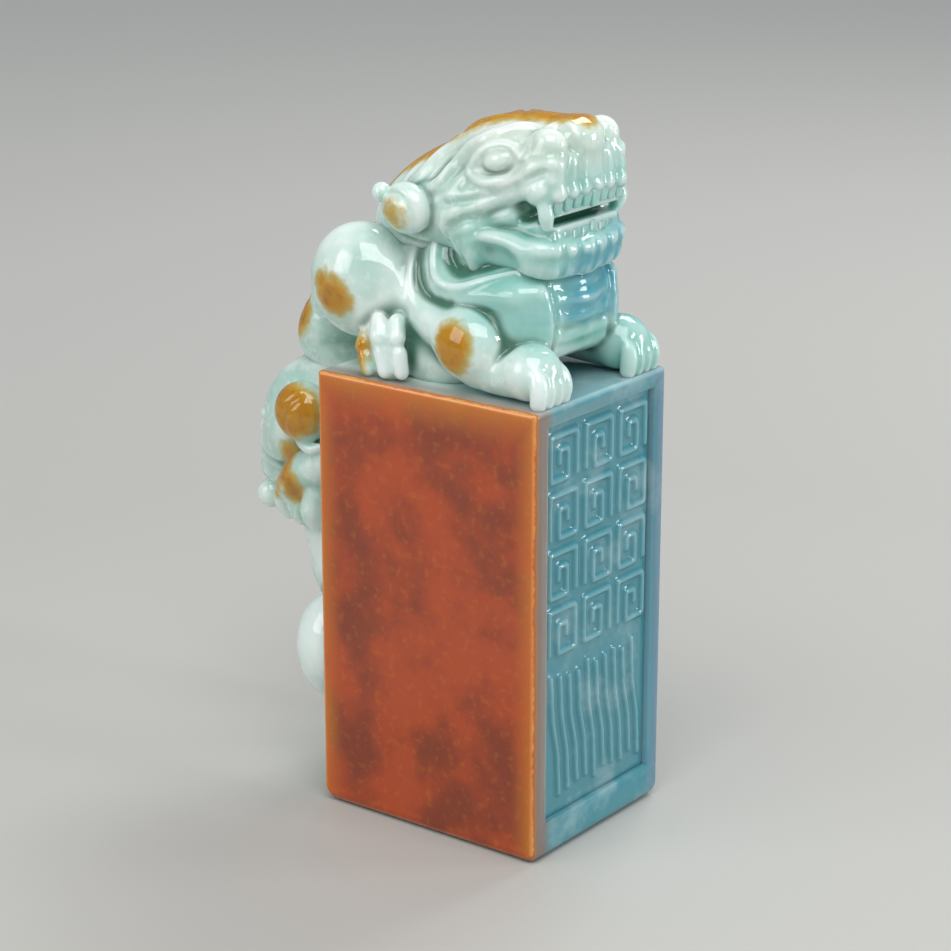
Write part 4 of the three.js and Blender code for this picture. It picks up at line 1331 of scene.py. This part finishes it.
    def build(self, block: Block, detail: Detail, jade: bpy.types.Material) -> None:
        """Sculpts and dresses the body."""
        clay = Clay((-28, -14, -7), (17, 14, 19), self.step * detail.value)
        self.shape_masses(clay)
        self.shape_tail(clay)
        self.shape_hindquarters(clay)
        self.shape_chest(clay)
        self.shape_neck(clay)
        self.shape_forelegs(clay)
        self.shape_spine(clay)
        clay.cut(block.below(self.sunk), FLUSH)
        piece = clay.to_object("beast_body", (0, 0, block.top), self.stains)
        dress(
            piece, jade, "celadon_jade", "trunk", "chest", "belly_scutes", "left_collar",
            "right_collar", "left_foreleg", "right_foreleg", "left_haunch", "right_haunch",
            "left_hind_foot", "right_hind_foot", "tail",
        )


@dataclass(frozen=True)
class Cub:
    """Cub that climbs the block's back face, measured from the top edge of that face."""

    step: float = 0.21
    sunk: float = 0.4
    skull: Ball = Ball((-8.1, 0.0, -9.7), (8.0, 7.6, 7.9))
    muzzle: Ball = Ball((-12.2, 0.0, -13.2), (5.0, 5.4, 4.0))
    nose: Ball = Ball((-16.4, 0.0, -11.8), (1.6, 2.3, 1.4))
    jaw: Ball = Ball((-13.0, 0.0, -15.9), (4.5, 4.6, 2.6))
    ear: Ball = Ball((-4.7, -8.8, -6.2), (3.5, 2.7, 3.4), (0, 10, 0))
    trunk: Ball = Ball((-3.4, 0.0, -22.6), (6.2, 7.0, 10.4))
    belly: Ball = Ball((-4.4, 0.0, -19.5), (5.8, 7.0, 6.4))
    haunch: Ball = Ball((-2.1, -6.9, -33.5), (4.6, 4.4, 6.3))
    pearl: Ball = Ball((-15.2, -2.4, -19.2), (1.75, 1.75, 1.75))
    stains: tuple[Form, ...] = (
        Ball((-5.4, -11.0, -5.8), (4.0, 3.0, 3.2)),
        Ball((-8.0, -9.0, -12.8), (1.9, 2.8, 2.4)),
        Ball((-9.8, -8.4, -15.2), (1.2, 2.6, 1.9)),
        Ball((-6.2, -9.8, -15.2), (1.4, 2.4, 2.1)),
    )

    def shape_head(self, clay: Clay) -> None:
        """Models the cub's head, with mouth, eyes, brows and ears."""
        clay.add(self.skull)
        clay.add(self.muzzle, 1.6)
        clay.add(self.nose, 0.5)
        clay.add(self.jaw, 0.4)
        clay.add(self.ear, 0.3, paired=True)
        clay.groove((
            (-17.6, -12.9, 0.3), (-14.4, -13.8, 0.5), (-11.4, -14.2, 0.5), (-9.4, -13.6, 0.3),
        ), 0.4)
        clay.cut(Ball((-14.2, -4.2, -9.0), (1.5, 1.9, 1.4), (0, 0, 20)), 0.5, paired=True)
        clay.add(Ball((-13.6, -3.9, -9.0), (1.3, 1.4, 1.1), (0, 0, 20)), 0.12, paired=True)
        brow = (
            (-15.2, 0.6, -8.4, 0.4), (-14.2, 2.4, -6.9, 0.6), (-12.4, 4.4, -6.0, 0.6),
            (-10.2, 5.8, -6.4, 0.4),
        )
        clay.add(Strand(brow), 0.5, paired=True)
        clay.groove(((-3.4, -3.8, 0.3), (-5.0, -5.4, 0.5), (-5.6, -8.2, 0.3)), 0.25)
        ruffle = (
            (-5.6, -8.8, -9.9, 0.3), (-4.4, -9.4, -9.7, 0.6), (-3.2, -9.5, -10.1, 0.65),
            (-2.0, -9.3, -9.7, 0.5),
        )
        clay.add(Strand(ruffle), 0.5, paired=True)

    def shape_body(self, clay: Clay) -> None:
        """Models the trunk, haunches, feet and tail."""
        clay.add(self.trunk, 1.4)
        clay.add(self.belly, 1.2)
        clay.add(self.haunch, 0.4, paired=True)
        clay.add(Strand(((-1.4, -6.2, -39.2, 2.0), (-1.3, -6.6, -41.8, 1.5))), 0.4, paired=True)
        for y in (-7.6, -6.4, -5.2):
            clay.add(Strand((
                (-1.8, y, -41.0, 0.7), (-2.4, y, -42.2, 0.7), (-1.8, y, -43.2, 0.6),
            )), 0.12, paired=True)
        tail = (
            (-6.8, 0, -29.4, 2.2), (-6.4, 0, -33.4, 2.0), (-4.8, 0.6, -37.8, 1.6),
            (-3.4, 1.6, -41.0, 1.0),
        )
        clay.add(Strand(tail), 0.5)
        for y in (-4.6, -2.3, 0.0, 2.3, 4.6):
            clay.groove((
                (y, -20.4, 0.3), (y * 1.05, -24.0, 0.6), (y, -28.0, 0.3),
            ), 0.35, 0.4, side=Side.BACK)

    def shape_arms(self, clay: Clay) -> None:
        """Models the forelegs that hold the pearl, with three toes each."""
        arm = ((-2.4, -7.0, -11.6, 2.6), (-5.8, -7.2, -13.8, 2.5), (-7.8, -6.7, -15.8, 2.3))
        clay.add(Strand(arm), 0.5, paired=True)
        for place in range(3):
            top = (-4.0 - place * 2.5, -7.8 + place * 0.8, -15.6, 1.4)
            knuckle = (-4.4 - place * 2.6, -8.0 + place * 0.8, -17.8, 1.4)
            tip = (-4.2 - place * 2.6, -7.6 + place * 0.8, -19.2, 1.1)
            clay.add(Strand((top, knuckle, tip)), 0.15, paired=True)
        clay.groove(((-8.0, -16.4, 0.3), (-7.2, -17.6, 0.5), (-7.4, -19.0, 0.3)), 0.3)
        clay.add(self.pearl, 0.15)

    def build(self, block: Block, detail: Detail, jade: bpy.types.Material) -> None:
        """Sculpts and dresses the cub."""
        clay = Clay((-20, -14, -48), (2, 14, 1), self.step * detail.value)
        self.shape_head(clay)
        self.shape_body(clay)
        self.shape_arms(clay)
        clay.cut(block.behind(self.sunk), FLUSH)
        piece = clay.to_object("cub", (block.back, 0, block.top), self.stains)
        dress(
            piece, jade, "celadon_jade", "cub_head", "cub_trunk", "cub_left_ear", "cub_right_ear",
            "cub_jaw", "pearl", "cub_left_foreleg", "cub_right_foreleg", "cub_left_haunch",
            "cub_right_haunch", "cub_tail",
        )


# Pieces that repeat

# Length of a carved stroke's steps in millimetres, and how many sides it has round it.
STROKE_STEP = 0.3
STROKE_SIDES = 10
# Seed of what makes repeated carvings uneven.
SEED = 7


def new_piece(name: str, shape: bmesh.types.BMesh) -> bpy.types.Object:
    """Turns a finished bmesh, in millimetres, into an object at the frame's origin."""
    bmesh.ops.scale(shape, vec=(MM, MM, MM), verts=shape.verts)
    mesh = bpy.data.meshes.new(name)
    shape.to_mesh(mesh)
    shape.free()
    piece = bpy.data.objects.new(name, mesh)
    bpy.context.scene.collection.objects.link(piece)
    return piece


def use_tree(piece: bpy.types.Object, tree: Tree, inputs: dict[str, object]) -> None:
    """Puts a geometry tree on a piece.

    Args:
        piece: Object whose mesh goes into the tree.
        tree: Geometry node tree.
        inputs: Values for the tree's inputs, by their names.
    """
    modifier = piece.modifiers.new(tree.name, "NODES")
    modifier.node_group = tree
    for item in tree.interface.items_tree:
        if item.in_out == "INPUT" and item.name in inputs:
            modifier[item.identifier] = inputs[item.name]


def make_plain(piece: bpy.types.Object) -> None:
    """Turns what a piece's modifiers make into its plain mesh and removes them."""
    graph = bpy.context.evaluated_depsgraph_get()
    mesh = bpy.data.meshes.new_from_object(piece.evaluated_get(graph))
    piece.modifiers.clear()
    piece.data = mesh
    mesh.shade_smooth()


def new_tree(name: str, sockets: dict[str, str]) -> tuple[Tree, dict[str, Socket]]:
    """Starts a geometry tree that takes a mesh and named inputs and gives a mesh.

    Args:
        name: Name of the tree.
        sockets: Kind of socket for each named input, without Blender's "NodeSocket" before it.

    Returns:
        The tree, and what its inputs give, by their names.
    """
    tree = bpy.data.node_groups.new(name, "GeometryNodeTree")
    tree.interface.new_socket("Geometry", in_out="OUTPUT", socket_type="NodeSocketGeometry")
    for label, kind in {"Geometry": "Geometry", **sockets}.items():
        tree.interface.new_socket(label, in_out="INPUT", socket_type="NodeSocket" + kind)
    outputs = tree.nodes.new("NodeGroupInput").outputs
    return tree, {socket.name: socket for socket in outputs if socket.name}


def stroke_tree() -> Tree:
    """Makes the tree that sweeps a low rounded stroke along a drawn line.

    Returns:
        The tree, with inputs for the stroke's width and for how high it stands.
    """
    tree, given = new_tree("carved_stroke", {"Width": "Float", "Height Share": "Float"})
    node = partial(add_node, tree)
    curve = node("GeometryNodeMeshToCurve", {"Mesh": given["Geometry"]})
    even = node(
        "GeometryNodeResampleCurve", {"Curve": curve, "Length": STROKE_STEP * MM}, mode="LENGTH"
    )
    half = node(MATH, {0: given["Width"], 1: 0.5}, operation="MULTIPLY")
    circle = node(
        "GeometryNodeCurvePrimitiveCircle", {"Resolution": STROKE_SIDES, "Radius": half}
    )
    swept = node(
        "GeometryNodeCurveToMesh", {"Curve": even, "Profile Curve": circle, "Fill Caps": True}
    )
    flatten = node("ShaderNodeCombineXYZ", {"X": given["Height Share"], "Y": 1.0, "Z": 1.0})
    flat = node("GeometryNodeTransform", {"Geometry": swept, "Scale": flatten})
    node("NodeGroupOutput", {"Geometry": flat})
    return tree


def repeat_tree() -> Tree:
    """Makes the tree that repeats a shape over a grid that faces +X.

    Returns:
        The tree, with inputs for the grid, for how far its ends lie back, for mirroring every other
        copy and for uneven carving.
    """
    tree, given = new_tree("repeated_carving", {
        "Columns": "Int", "Rows": "Int", "Width": "Float", "Height": "Float", "Bow": "Float",
        "Mirror": "Float", "Unevenness": "Float", "Middle": "Vector", "Material": "Material",
    })
    node = partial(add_node, tree)
    grid = node("GeometryNodeMeshGrid", {
        "Size X": given["Width"], "Size Y": given["Height"],
        "Vertices X": given["Columns"], "Vertices Y": given["Rows"],
    })
    quarter = math.pi / 2
    upright = node("GeometryNodeTransform", {"Geometry": grid, "Rotation": (quarter, 0, quarter)})
    place = node("GeometryNodeInputPosition")
    across = node("ShaderNodeSeparateXYZ", {"Vector": place}, output="Y")
    share = node(MATH, {0: across, 1: given["Width"]}, operation="DIVIDE")
    square = node(MATH, {0: share, 1: 2.0}, operation="POWER")
    back = node(MATH, {0: square, 1: given["Bow"]}, operation="MULTIPLY")
    shift = node("ShaderNodeCombineXYZ", {"X": back})
    moved = node("ShaderNodeVectorMath", {0: shift, 1: given["Middle"]}, operation="ADD")
    bowed = node("GeometryNodeSetPosition", {"Geometry": upright, "Offset": moved})

    turned = node(
        "GeometryNodeTransform", {"Geometry": given["Geometry"], "Scale": (1.0, -1.0, 1.0)}
    )
    mirrored = node("GeometryNodeFlipFaces", {"Mesh": turned})
    both = tree.nodes.new("GeometryNodeJoinGeometry")
    for source in (mirrored, given["Geometry"]):
        choice = node("GeometryNodeGeometryToInstance", {0: source})
        tree.links.new(choice, both.inputs[0])
    index = node("GeometryNodeInputIndex")
    column = node(MATH, {0: index, 1: given["Rows"]}, operation="DIVIDE")
    whole = node(MATH, {0: column}, operation="FLOOR")
    step = node(MATH, {0: given["Rows"], 1: 1.0}, operation="ADD")
    total = node(MATH, {0: whole, 1: step, 2: index}, operation="MULTIPLY_ADD")
    odd = node(MATH, {0: total, 1: 2.0}, operation="MODULO")
    picked = node(MATH, {0: odd, 1: given["Mirror"]}, operation="MULTIPLY")
    lowest = node(MATH, {0: 1.0, 1: given["Unevenness"]}, operation="SUBTRACT")
    size = node(
        "FunctionNodeRandomValue", {"Min": lowest, "Max": 1.0, "Seed": SEED}, data_type="FLOAT"
    )
    scale = node("ShaderNodeCombineXYZ", {"X": 1.0, "Y": 1.0, "Z": size})
    copies = node("GeometryNodeInstanceOnPoints", {
        "Points": bowed, "Instance": both.outputs[0], "Pick Instance": True,
        "Instance Index": picked, "Scale": scale,
    })
    real = node("GeometryNodeRealizeInstances", {"Geometry": copies})
    dressed = node("GeometryNodeSetMaterial", {"Geometry": real, "Material": given["Material"]})
    node("NodeGroupOutput", {"Geometry": dressed})
    return tree


@dataclass(frozen=True)
class TeethRow:
    """Row of small chisel teeth across the front of a jaw, in an even bow."""

    name: str
    slot: str
    root_height: float
    length: float
    front: float
    points_up: bool
    half_span: float = 5.4
    count: int = 8
    thickness: float = 1.1
    overlap: float = 1.02
    tip_share: float = 0.62
    edge_round: float = 0.22
    edge_fullness: float = 0.6
    bow: float = 0.3
    unevenness: float = 0.22

    def tooth(self) -> bmesh.types.BMesh:
        """Models one tooth: a rounded chisel that narrows to its tip."""
        width = 2 * self.half_span / (self.count - 1) * self.overlap
        length = self.length if self.points_up else -self.length
        shape = bmesh.new()
        bmesh.ops.create_cube(shape, size=1)
        for vertex in shape.verts:
            narrowing = self.tip_share if vertex.co.z > 0 else 1.0
            vertex.co.x *= self.thickness * narrowing
            vertex.co.y *= width * narrowing
            vertex.co.z = (vertex.co.z + 0.5) * length
        if not self.points_up:
            bmesh.ops.reverse_faces(shape, faces=shape.faces)
        bmesh.ops.bevel(
            shape, geom=shape.edges, offset=self.edge_round, segments=3, affect="EDGES",
            profile=self.edge_fullness,
        )
        return shape

    def build(self, block: Block, repeat: Tree, jade: bpy.types.Material) -> None:
        """Repeats the tooth along the jaw and dresses the row.

        The tree multiplies its bow by the square of a place's share of the width. At the row's ends
        that is a quarter, so four times the bow goes in.
        """
        piece = new_piece(f"{self.name}_row", self.tooth())
        use_tree(piece, repeat, {
            "Columns": self.count, "Rows": 1, "Width": 2 * self.half_span * MM, "Height": 0.0,
            "Bow": -4 * self.bow * MM, "Mirror": 0.0, "Unevenness": self.unevenness,
            "Middle": (self.front * MM, 0.0, (block.top + self.root_height) * MM),
            "Material": jade,
        })
        make_plain(piece)
        dress(piece, jade, self.slot, self.name)


@dataclass(frozen=True)
class ReliefPanel:
    """Sunken front panel: rows of squared frets over slanting streams, rounded by polishing.

    Strokes half sunk in the ground are melted into it in cells of one grain. Their crests get a
    painted highlight and the ground between them a little painted shade, through the same traits as
    the other pieces.
    """

    stroke: float = 0.8
    swell: float = 1.1
    rise: float = 0.5
    columns: int = 3
    rows: int = 4
    fret_height: float = 5.6
    streams: int = 10
    stream_lean: float = 1.6
    stream_bend: float = 0.3
    stream_unevenness: float = 0.12
    head_gap: float = 1.2
    side_gap: float = 1.5
    margin: float = 0.35
    grain: float = 0.17
    melting: tuple[float, int] = (0.5, 4)
    crest_highlight: float = 0.08
    ground_shade: float = 0.015

    def line(self, name: str, points: list[tuple[float, float]]) -> bpy.types.Object:
        """Draws a line of (y, z) places in millimetres as the edges of a mesh."""
        shape = bmesh.new()
        corners = [shape.verts.new((0, y, z)) for y, z in points]
        for start, end in zip(corners, corners[1:]):
            shape.edges.new((start, end))
        return new_piece(name, shape)

    def fret(self, width: float) -> list[tuple[float, float]]:
        """Gives the squared hook of one fret, round its own middle."""
        half = (width - self.stroke) / 2
        top = (self.fret_height - self.stroke) / 2
        inner, upper = half - 2 * self.stroke, top - 2 * self.stroke
        return [
            (inner, -upper), (inner, upper), (-inner, upper), (-inner, -top), (half, -top),
            (half, top), (-half, top), (-half, -top),
        ]

    def stream(self, height: float) -> list[tuple[float, float]]:
        """Gives the slanting, slightly bent line of one stream, round its own middle."""
        half, side = height / 2, self.stream_lean / 2
        y, z = self.stream_lean * self.stream_bend, half * self.stream_bend
        return [(-side, half), (-y, z), (y, -z), (side, -half)]

    def ground(self, low: np.ndarray, high: np.ndarray, level: float) -> bpy.types.Object:
        """Models the panel's plain ground, which reaches a little into the block's walls."""
        edge = np.array([0.0, self.margin, self.margin])
        near, far = low - edge, np.array([level, high[1], high[2]]) + edge
        shape = bmesh.new()
        bmesh.ops.create_cube(shape, size=1)
        for vertex in shape.verts:
            vertex.co = Vector(np.where(np.array(vertex.co) > 0, far, near))
        return new_piece("front_relief", shape)

    def build(self, sweep: Tree, repeat: Tree, jade: bpy.types.Material) -> None:
        """Sweeps and repeats the strokes, melts them into the ground and dresses the panel.

        Args:
            sweep: Tree that sweeps a stroke.
            repeat: Tree that repeats a shape.
            jade: Material of the panel.
        """
        low, high = (np.array(corner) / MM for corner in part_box("front_panel"))
        level = high[0] - self.rise
        width = high[1] - low[1]
        pitch, row_pitch = width / self.columns, self.fret_height + self.stroke
        frets_height = row_pitch * (self.rows - 1)
        frets_top = high[2] - self.stroke - self.fret_height / 2
        streams_foot = low[2] + 2 * self.stroke
        streams_top = high[2] - self.rows * row_pitch - self.head_gap * self.stroke
        streams_height = streams_top - streams_foot - self.stroke
        parts = [self.ground(low, high, level)]
        for name, points, layout, middle in (
            ("frets", self.fret(pitch - self.stroke),
             {"Columns": self.columns, "Rows": self.rows, "Width": (width - pitch) * MM,
              "Height": frets_height * MM, "Mirror": 1.0, "Unevenness": 0.0},
             frets_top - frets_height / 2),
            ("streams", self.stream(streams_height),
             {"Columns": self.streams, "Rows": 1, "Height": 0.0, "Mirror": 0.0,
              "Width": (width - self.stream_lean - 2 * self.side_gap * self.stroke) * MM,
              "Unevenness": self.stream_unevenness},
             streams_foot + streams_height / 2),
        ):
            strokes = self.line(name, points)
            use_tree(strokes, sweep, {"Width": self.stroke * MM, "Height Share": self.swell})
            use_tree(strokes, repeat, {
                **layout, "Bow": 0.0, "Material": jade,
                "Middle": (level * MM, (low[1] + high[1]) / 2 * MM, middle * MM),
            })
            make_plain(strokes)
            parts.append(strokes)
        panel = self.melt(parts)
        places = np.zeros(3 * len(panel.data.vertices))
        panel.data.vertices.foreach_get("co", places)
        raised = np.clip((places[::3] / MM - level) / self.rise, 0, 1)
        # Painted light: a highlight on the strokes' crests and a little shade on the ground between
        # them.
        add_trait(panel.data, "relief", self.crest_highlight * raised)
        add_trait(panel.data, "mass", self.ground_shade * (raised - 1))
        dress(panel, jade, "blue_green_jade", "front_panel")

    def melt(self, parts: list[bpy.types.Object]) -> bpy.types.Object:
        """Joins the parts into the first of them, as one closed and softened surface."""
        panel = parts[0]
        shape = bmesh.new()
        for part in parts:
            shape.from_mesh(part.data)
        shape.to_mesh(panel.data)
        shape.free()
        for part in parts[1:]:
            bpy.data.objects.remove(part)
        remesh = panel.modifiers.new("melt", "REMESH")
        remesh.mode = "VOXEL"
        remesh.voxel_size = self.grain * MM
        soften = panel.modifiers.new("soften", "SMOOTH")
        soften.factor, soften.iterations = self.melting
        make_plain(panel)
        return panel


@dataclass(frozen=True)
class SealBlock:
    """Upright block with rounded edges and a pocket for the relief in its front face."""

    foot_round: float = 2.2
    near_foot_round: float = 1.3
    corner_round: float = 0.6
    top_round: float = 0.45
    pocket_round: float = 0.3
    pocket_margin: float = 0.3
    round_steps: int = 6

    def build(self, block: Block, jade: bpy.types.Material) -> None:
        """Models and dresses the block."""
        low, high = (np.array(corner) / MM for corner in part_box("front_panel"))
        shape = bmesh.new()
        bmesh.ops.create_cube(shape, size=1)
        for vertex in shape.verts:
            x, y, z = vertex.co
            vertex.co = Vector((
                block.front if x > 0 else block.back,
                math.copysign(block.side, y),
                block.top if z > 0 else 0.0,
            ))
        front = max(shape.faces, key=lambda face: face.normal.x)
        bmesh.ops.inset_region(shape, faces=[front], thickness=self.pocket_margin)
        for vertex in front.verts:
            y, z = vertex.co.y, vertex.co.z
            vertex.co.y = (high[1] if y > 0 else low[1]) + math.copysign(self.pocket_margin, y)
            upper = z > block.top / 2
            vertex.co.z = high[2] + self.pocket_margin if upper else low[2] - self.pocket_margin
        rim = list(front.edges)
        pocket = bmesh.ops.extrude_discrete_faces(shape, faces=[front])["faces"][0]
        for vertex in pocket.verts:
            vertex.co.x = low[0]
        shape.normal_update()
        weights = shape.edges.layers.float.new("bevel_weight_edge")
        for edge in shape.edges:
            rounding = self.pocket_round if edge in rim else self.rounding(edge, block)
            edge[weights] = rounding / self.foot_round
        piece = new_piece("block", shape)
        bevel = piece.modifiers.new("rounding", "BEVEL")
        bevel.limit_method = "WEIGHT"
        bevel.width = self.foot_round * MM
        bevel.segments = self.round_steps
        make_plain(piece)
        # The flat faces stay flat where their normals meet the roundings.
        normals = piece.modifiers.new("normals", "WEIGHTED_NORMAL")
        normals.keep_sharp = False
        make_plain(piece)
        dress(piece, jade, "amber_skin_jade", "seal_block")

    def rounding(self, edge: bmesh.types.BMEdge, block: Block) -> float:
        """Gives how far an outer edge is rounded: most at the foot, and not at all inside.

        Args:
            edge: Edge of the unrounded block.
            block: Sizes of the block.

        Returns:
            The rounding, in millimetres.
        """
        ends = [vertex.co for vertex in edge.verts]
        if any(abs(abs(co.y) - block.side) > CLOSE for co in ends):
            return 0.0
        if all(co.z < CLOSE for co in ends):
            near = all(co.x > 0 for co in ends) or all(co.y < 0 for co in ends)
            return self.near_foot_round if near else self.foot_round
        if all(co.z > block.top - CLOSE for co in ends):
            return self.top_round
        return self.corner_round


# Floor, light and camera


@dataclass(frozen=True)
class SoftBox:
    """Rectangular lamp that shows as a crisp patch on the polished stone."""

    name: str
    azimuth: float
    elevation: float
    distance: float
    width: float
    height: float
    brightness: float

    def build(self, aim: Vector) -> None:
        """Hangs the lamp so that it faces the figure."""
        lamp = bpy.data.lights.new(self.name, "AREA")
        lamp.shape = "RECTANGLE"
        lamp.size = self.width
        lamp.size_y = self.height
        lamp.energy = self.brightness * self.width * self.height * math.pi
        holder = bpy.data.objects.new(self.name, lamp)
        bpy.context.scene.collection.objects.link(holder)
        back = direction(self.azimuth, self.elevation)
        holder.location = aim + back * self.distance
        holder.rotation_mode = "QUATERNION"
        holder.rotation_quaternion = back.to_track_quat("Z", "Y")
        holder.visible_camera = False


def direction(azimuth: float, elevation: float) -> Vector:
    """Gives the direction towards a viewpoint, with azimuth 0 looking along +Y."""
    turn, rise = math.radians(azimuth), math.radians(elevation)
    return Vector((
        math.sin(turn) * math.cos(rise), -math.cos(turn) * math.cos(rise), math.sin(rise)
    ))


@dataclass(frozen=True)
class Studio:
    """Pale floor, soft lamps and the camera at the photograph's angle.

    The camera's distance and aim are in millimetres, the floor and the lamps' sizes in metres.
    """

    azimuth: float = 37.14
    elevation: float = 17.64
    distance: float = 297.2
    aim: Place = (-3.66, 1.9, 36.71)
    lens: float = 102.2
    floor_size: float = 4.0
    floor_colour: str = "#BDBCB7"
    # Floor colour far off, painted paler where the lamps' light falls off.
    far_painted_light: str = "#F0EFEA"
    floor_fade: tuple[float, float] = (0.12, 0.7)
    floor_roughness: float = 0.6
    world_colour: str = "#C9CED2"
    world_strength: float = 0.5
    lamps: tuple[SoftBox, ...] = (
        SoftBox("overhead", 184, 52, 0.5, 0.22, 0.20, 6.5),
        SoftBox("right", 127, 10, 0.5, 0.14, 0.18, 8.0),
        SoftBox("key", 34, 58, 0.5, 0.40, 0.32, 3.8),
        SoftBox("left", -30, 24, 0.6, 0.30, 0.34, 2.6),
        SoftBox("spark", 97, 34, 0.5, 0.06, 0.08, 16.0),
    )

    def build_floor(self) -> None:
        """Lays the floor of matt paper: darker near the stone, which mirrors it, and painted paler
        far off, where the lamps' light falls off.
        """
        shape = bmesh.new()
        bmesh.ops.create_grid(shape, x_segments=1, y_segments=1, size=self.floor_size / 2 / MM)
        floor = new_piece("floor", shape)
        material = bpy.data.materials.new("matt_paper")
        material.use_nodes = True
        tree = material.node_tree
        tree.nodes.clear()
        node = partial(add_node, tree)
        metres = node("ShaderNodeTexCoord", output="Object")
        away = node("ShaderNodeVectorMath", {0: metres}, output="Value", operation="LENGTH")
        near, far = self.floor_fade
        share = node("ShaderNodeMapRange", {"Value": away, "From Min": near, "From Max": far})
        colour = node(
            "ShaderNodeMix",
            {"Factor": share, "A": linear(self.floor_colour), "B": linear(self.far_painted_light)},
            data_type="RGBA",
        )
        shader = node(
            "ShaderNodeBsdfPrincipled", {"Base Color": colour, "Roughness": self.floor_roughness}
        )
        node("ShaderNodeOutputMaterial", {"Surface": shader})
        floor.data.materials.append(material)

    def build_camera(self) -> None:
        """Sets the camera where the photograph was taken from."""
        camera = bpy.data.cameras.new("camera")
        camera.lens = self.lens
        camera.clip_start = 0.01
        holder = bpy.data.objects.new("camera", camera)
        bpy.context.scene.collection.objects.link(holder)
        back = direction(self.azimuth, self.elevation)
        holder.location = (Vector(self.aim) + back * self.distance) * MM
        holder.rotation_mode = "QUATERNION"
        holder.rotation_quaternion = back.to_track_quat("Z", "Y")
        bpy.context.scene.camera = holder

    def build(self) -> None:
        """Sets up the whole studio."""
        self.build_floor()
        self.build_camera()
        for lamp in self.lamps:
            lamp.build(Vector(self.aim) * MM)
        world = bpy.data.worlds.new("studio")
        world.use_nodes = True
        world.node_tree.nodes.clear()
        node = partial(add_node, world.node_tree)
        light = {"Color": linear(self.world_colour), "Strength": self.world_strength}
        node("ShaderNodeOutputWorld", {"Surface": node("ShaderNodeBackground", light)})
        bpy.context.scene.world = world
        bpy.context.scene.view_settings.view_transform = "Standard"


def main() -> None:
    """Builds the studio and the stamp's pieces in order."""
    logging.basicConfig(level=logging.INFO, format="%(name)s: %(message)s")
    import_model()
    block = Block.from_frame()
    detail = Detail.FINE
    Studio().build()

    beast_jade = SkinnedJade("polished_celadon_jadeite").build()
    block_jade = SkinnedJade(
        "polished_jadeite_with_skin", skin_side=-block.side + 0.4, aqua_from=-22.0,
        aqua_to=-12.0, blue_from=-19.0, blue_to=-7.0, aqua="#5AA6A3", blue="#2A899D",
        orange="#BA4600", rust="#7C2C00", fringe="#B87A30", fleck="#C8700C", amber_glow="#DC8410",
        frost_cover=0.9, grain_cover=0.3, rust_cover=0.8, vein_size=3.0,
    ).build()
    BeastHead().build(block, detail, beast_jade)
    BeastBody().build(block, detail, beast_jade)
    Cub().build(block, detail, beast_jade)
    strokes, repeats = stroke_tree(), repeat_tree()
    for row in (
        TeethRow("upper_teeth", "celadon_jade", 21.0, length=1.9, front=12.4, points_up=False),
        TeethRow("lower_teeth", "blue_green_jade", 15.9, length=1.8, front=12.1, points_up=True),
    ):
        row.build(block, repeats, beast_jade)
    ReliefPanel().build(strokes, repeats, block_jade)
    SealBlock().build(block, block_jade)


if __name__ == "__main__":
    main()
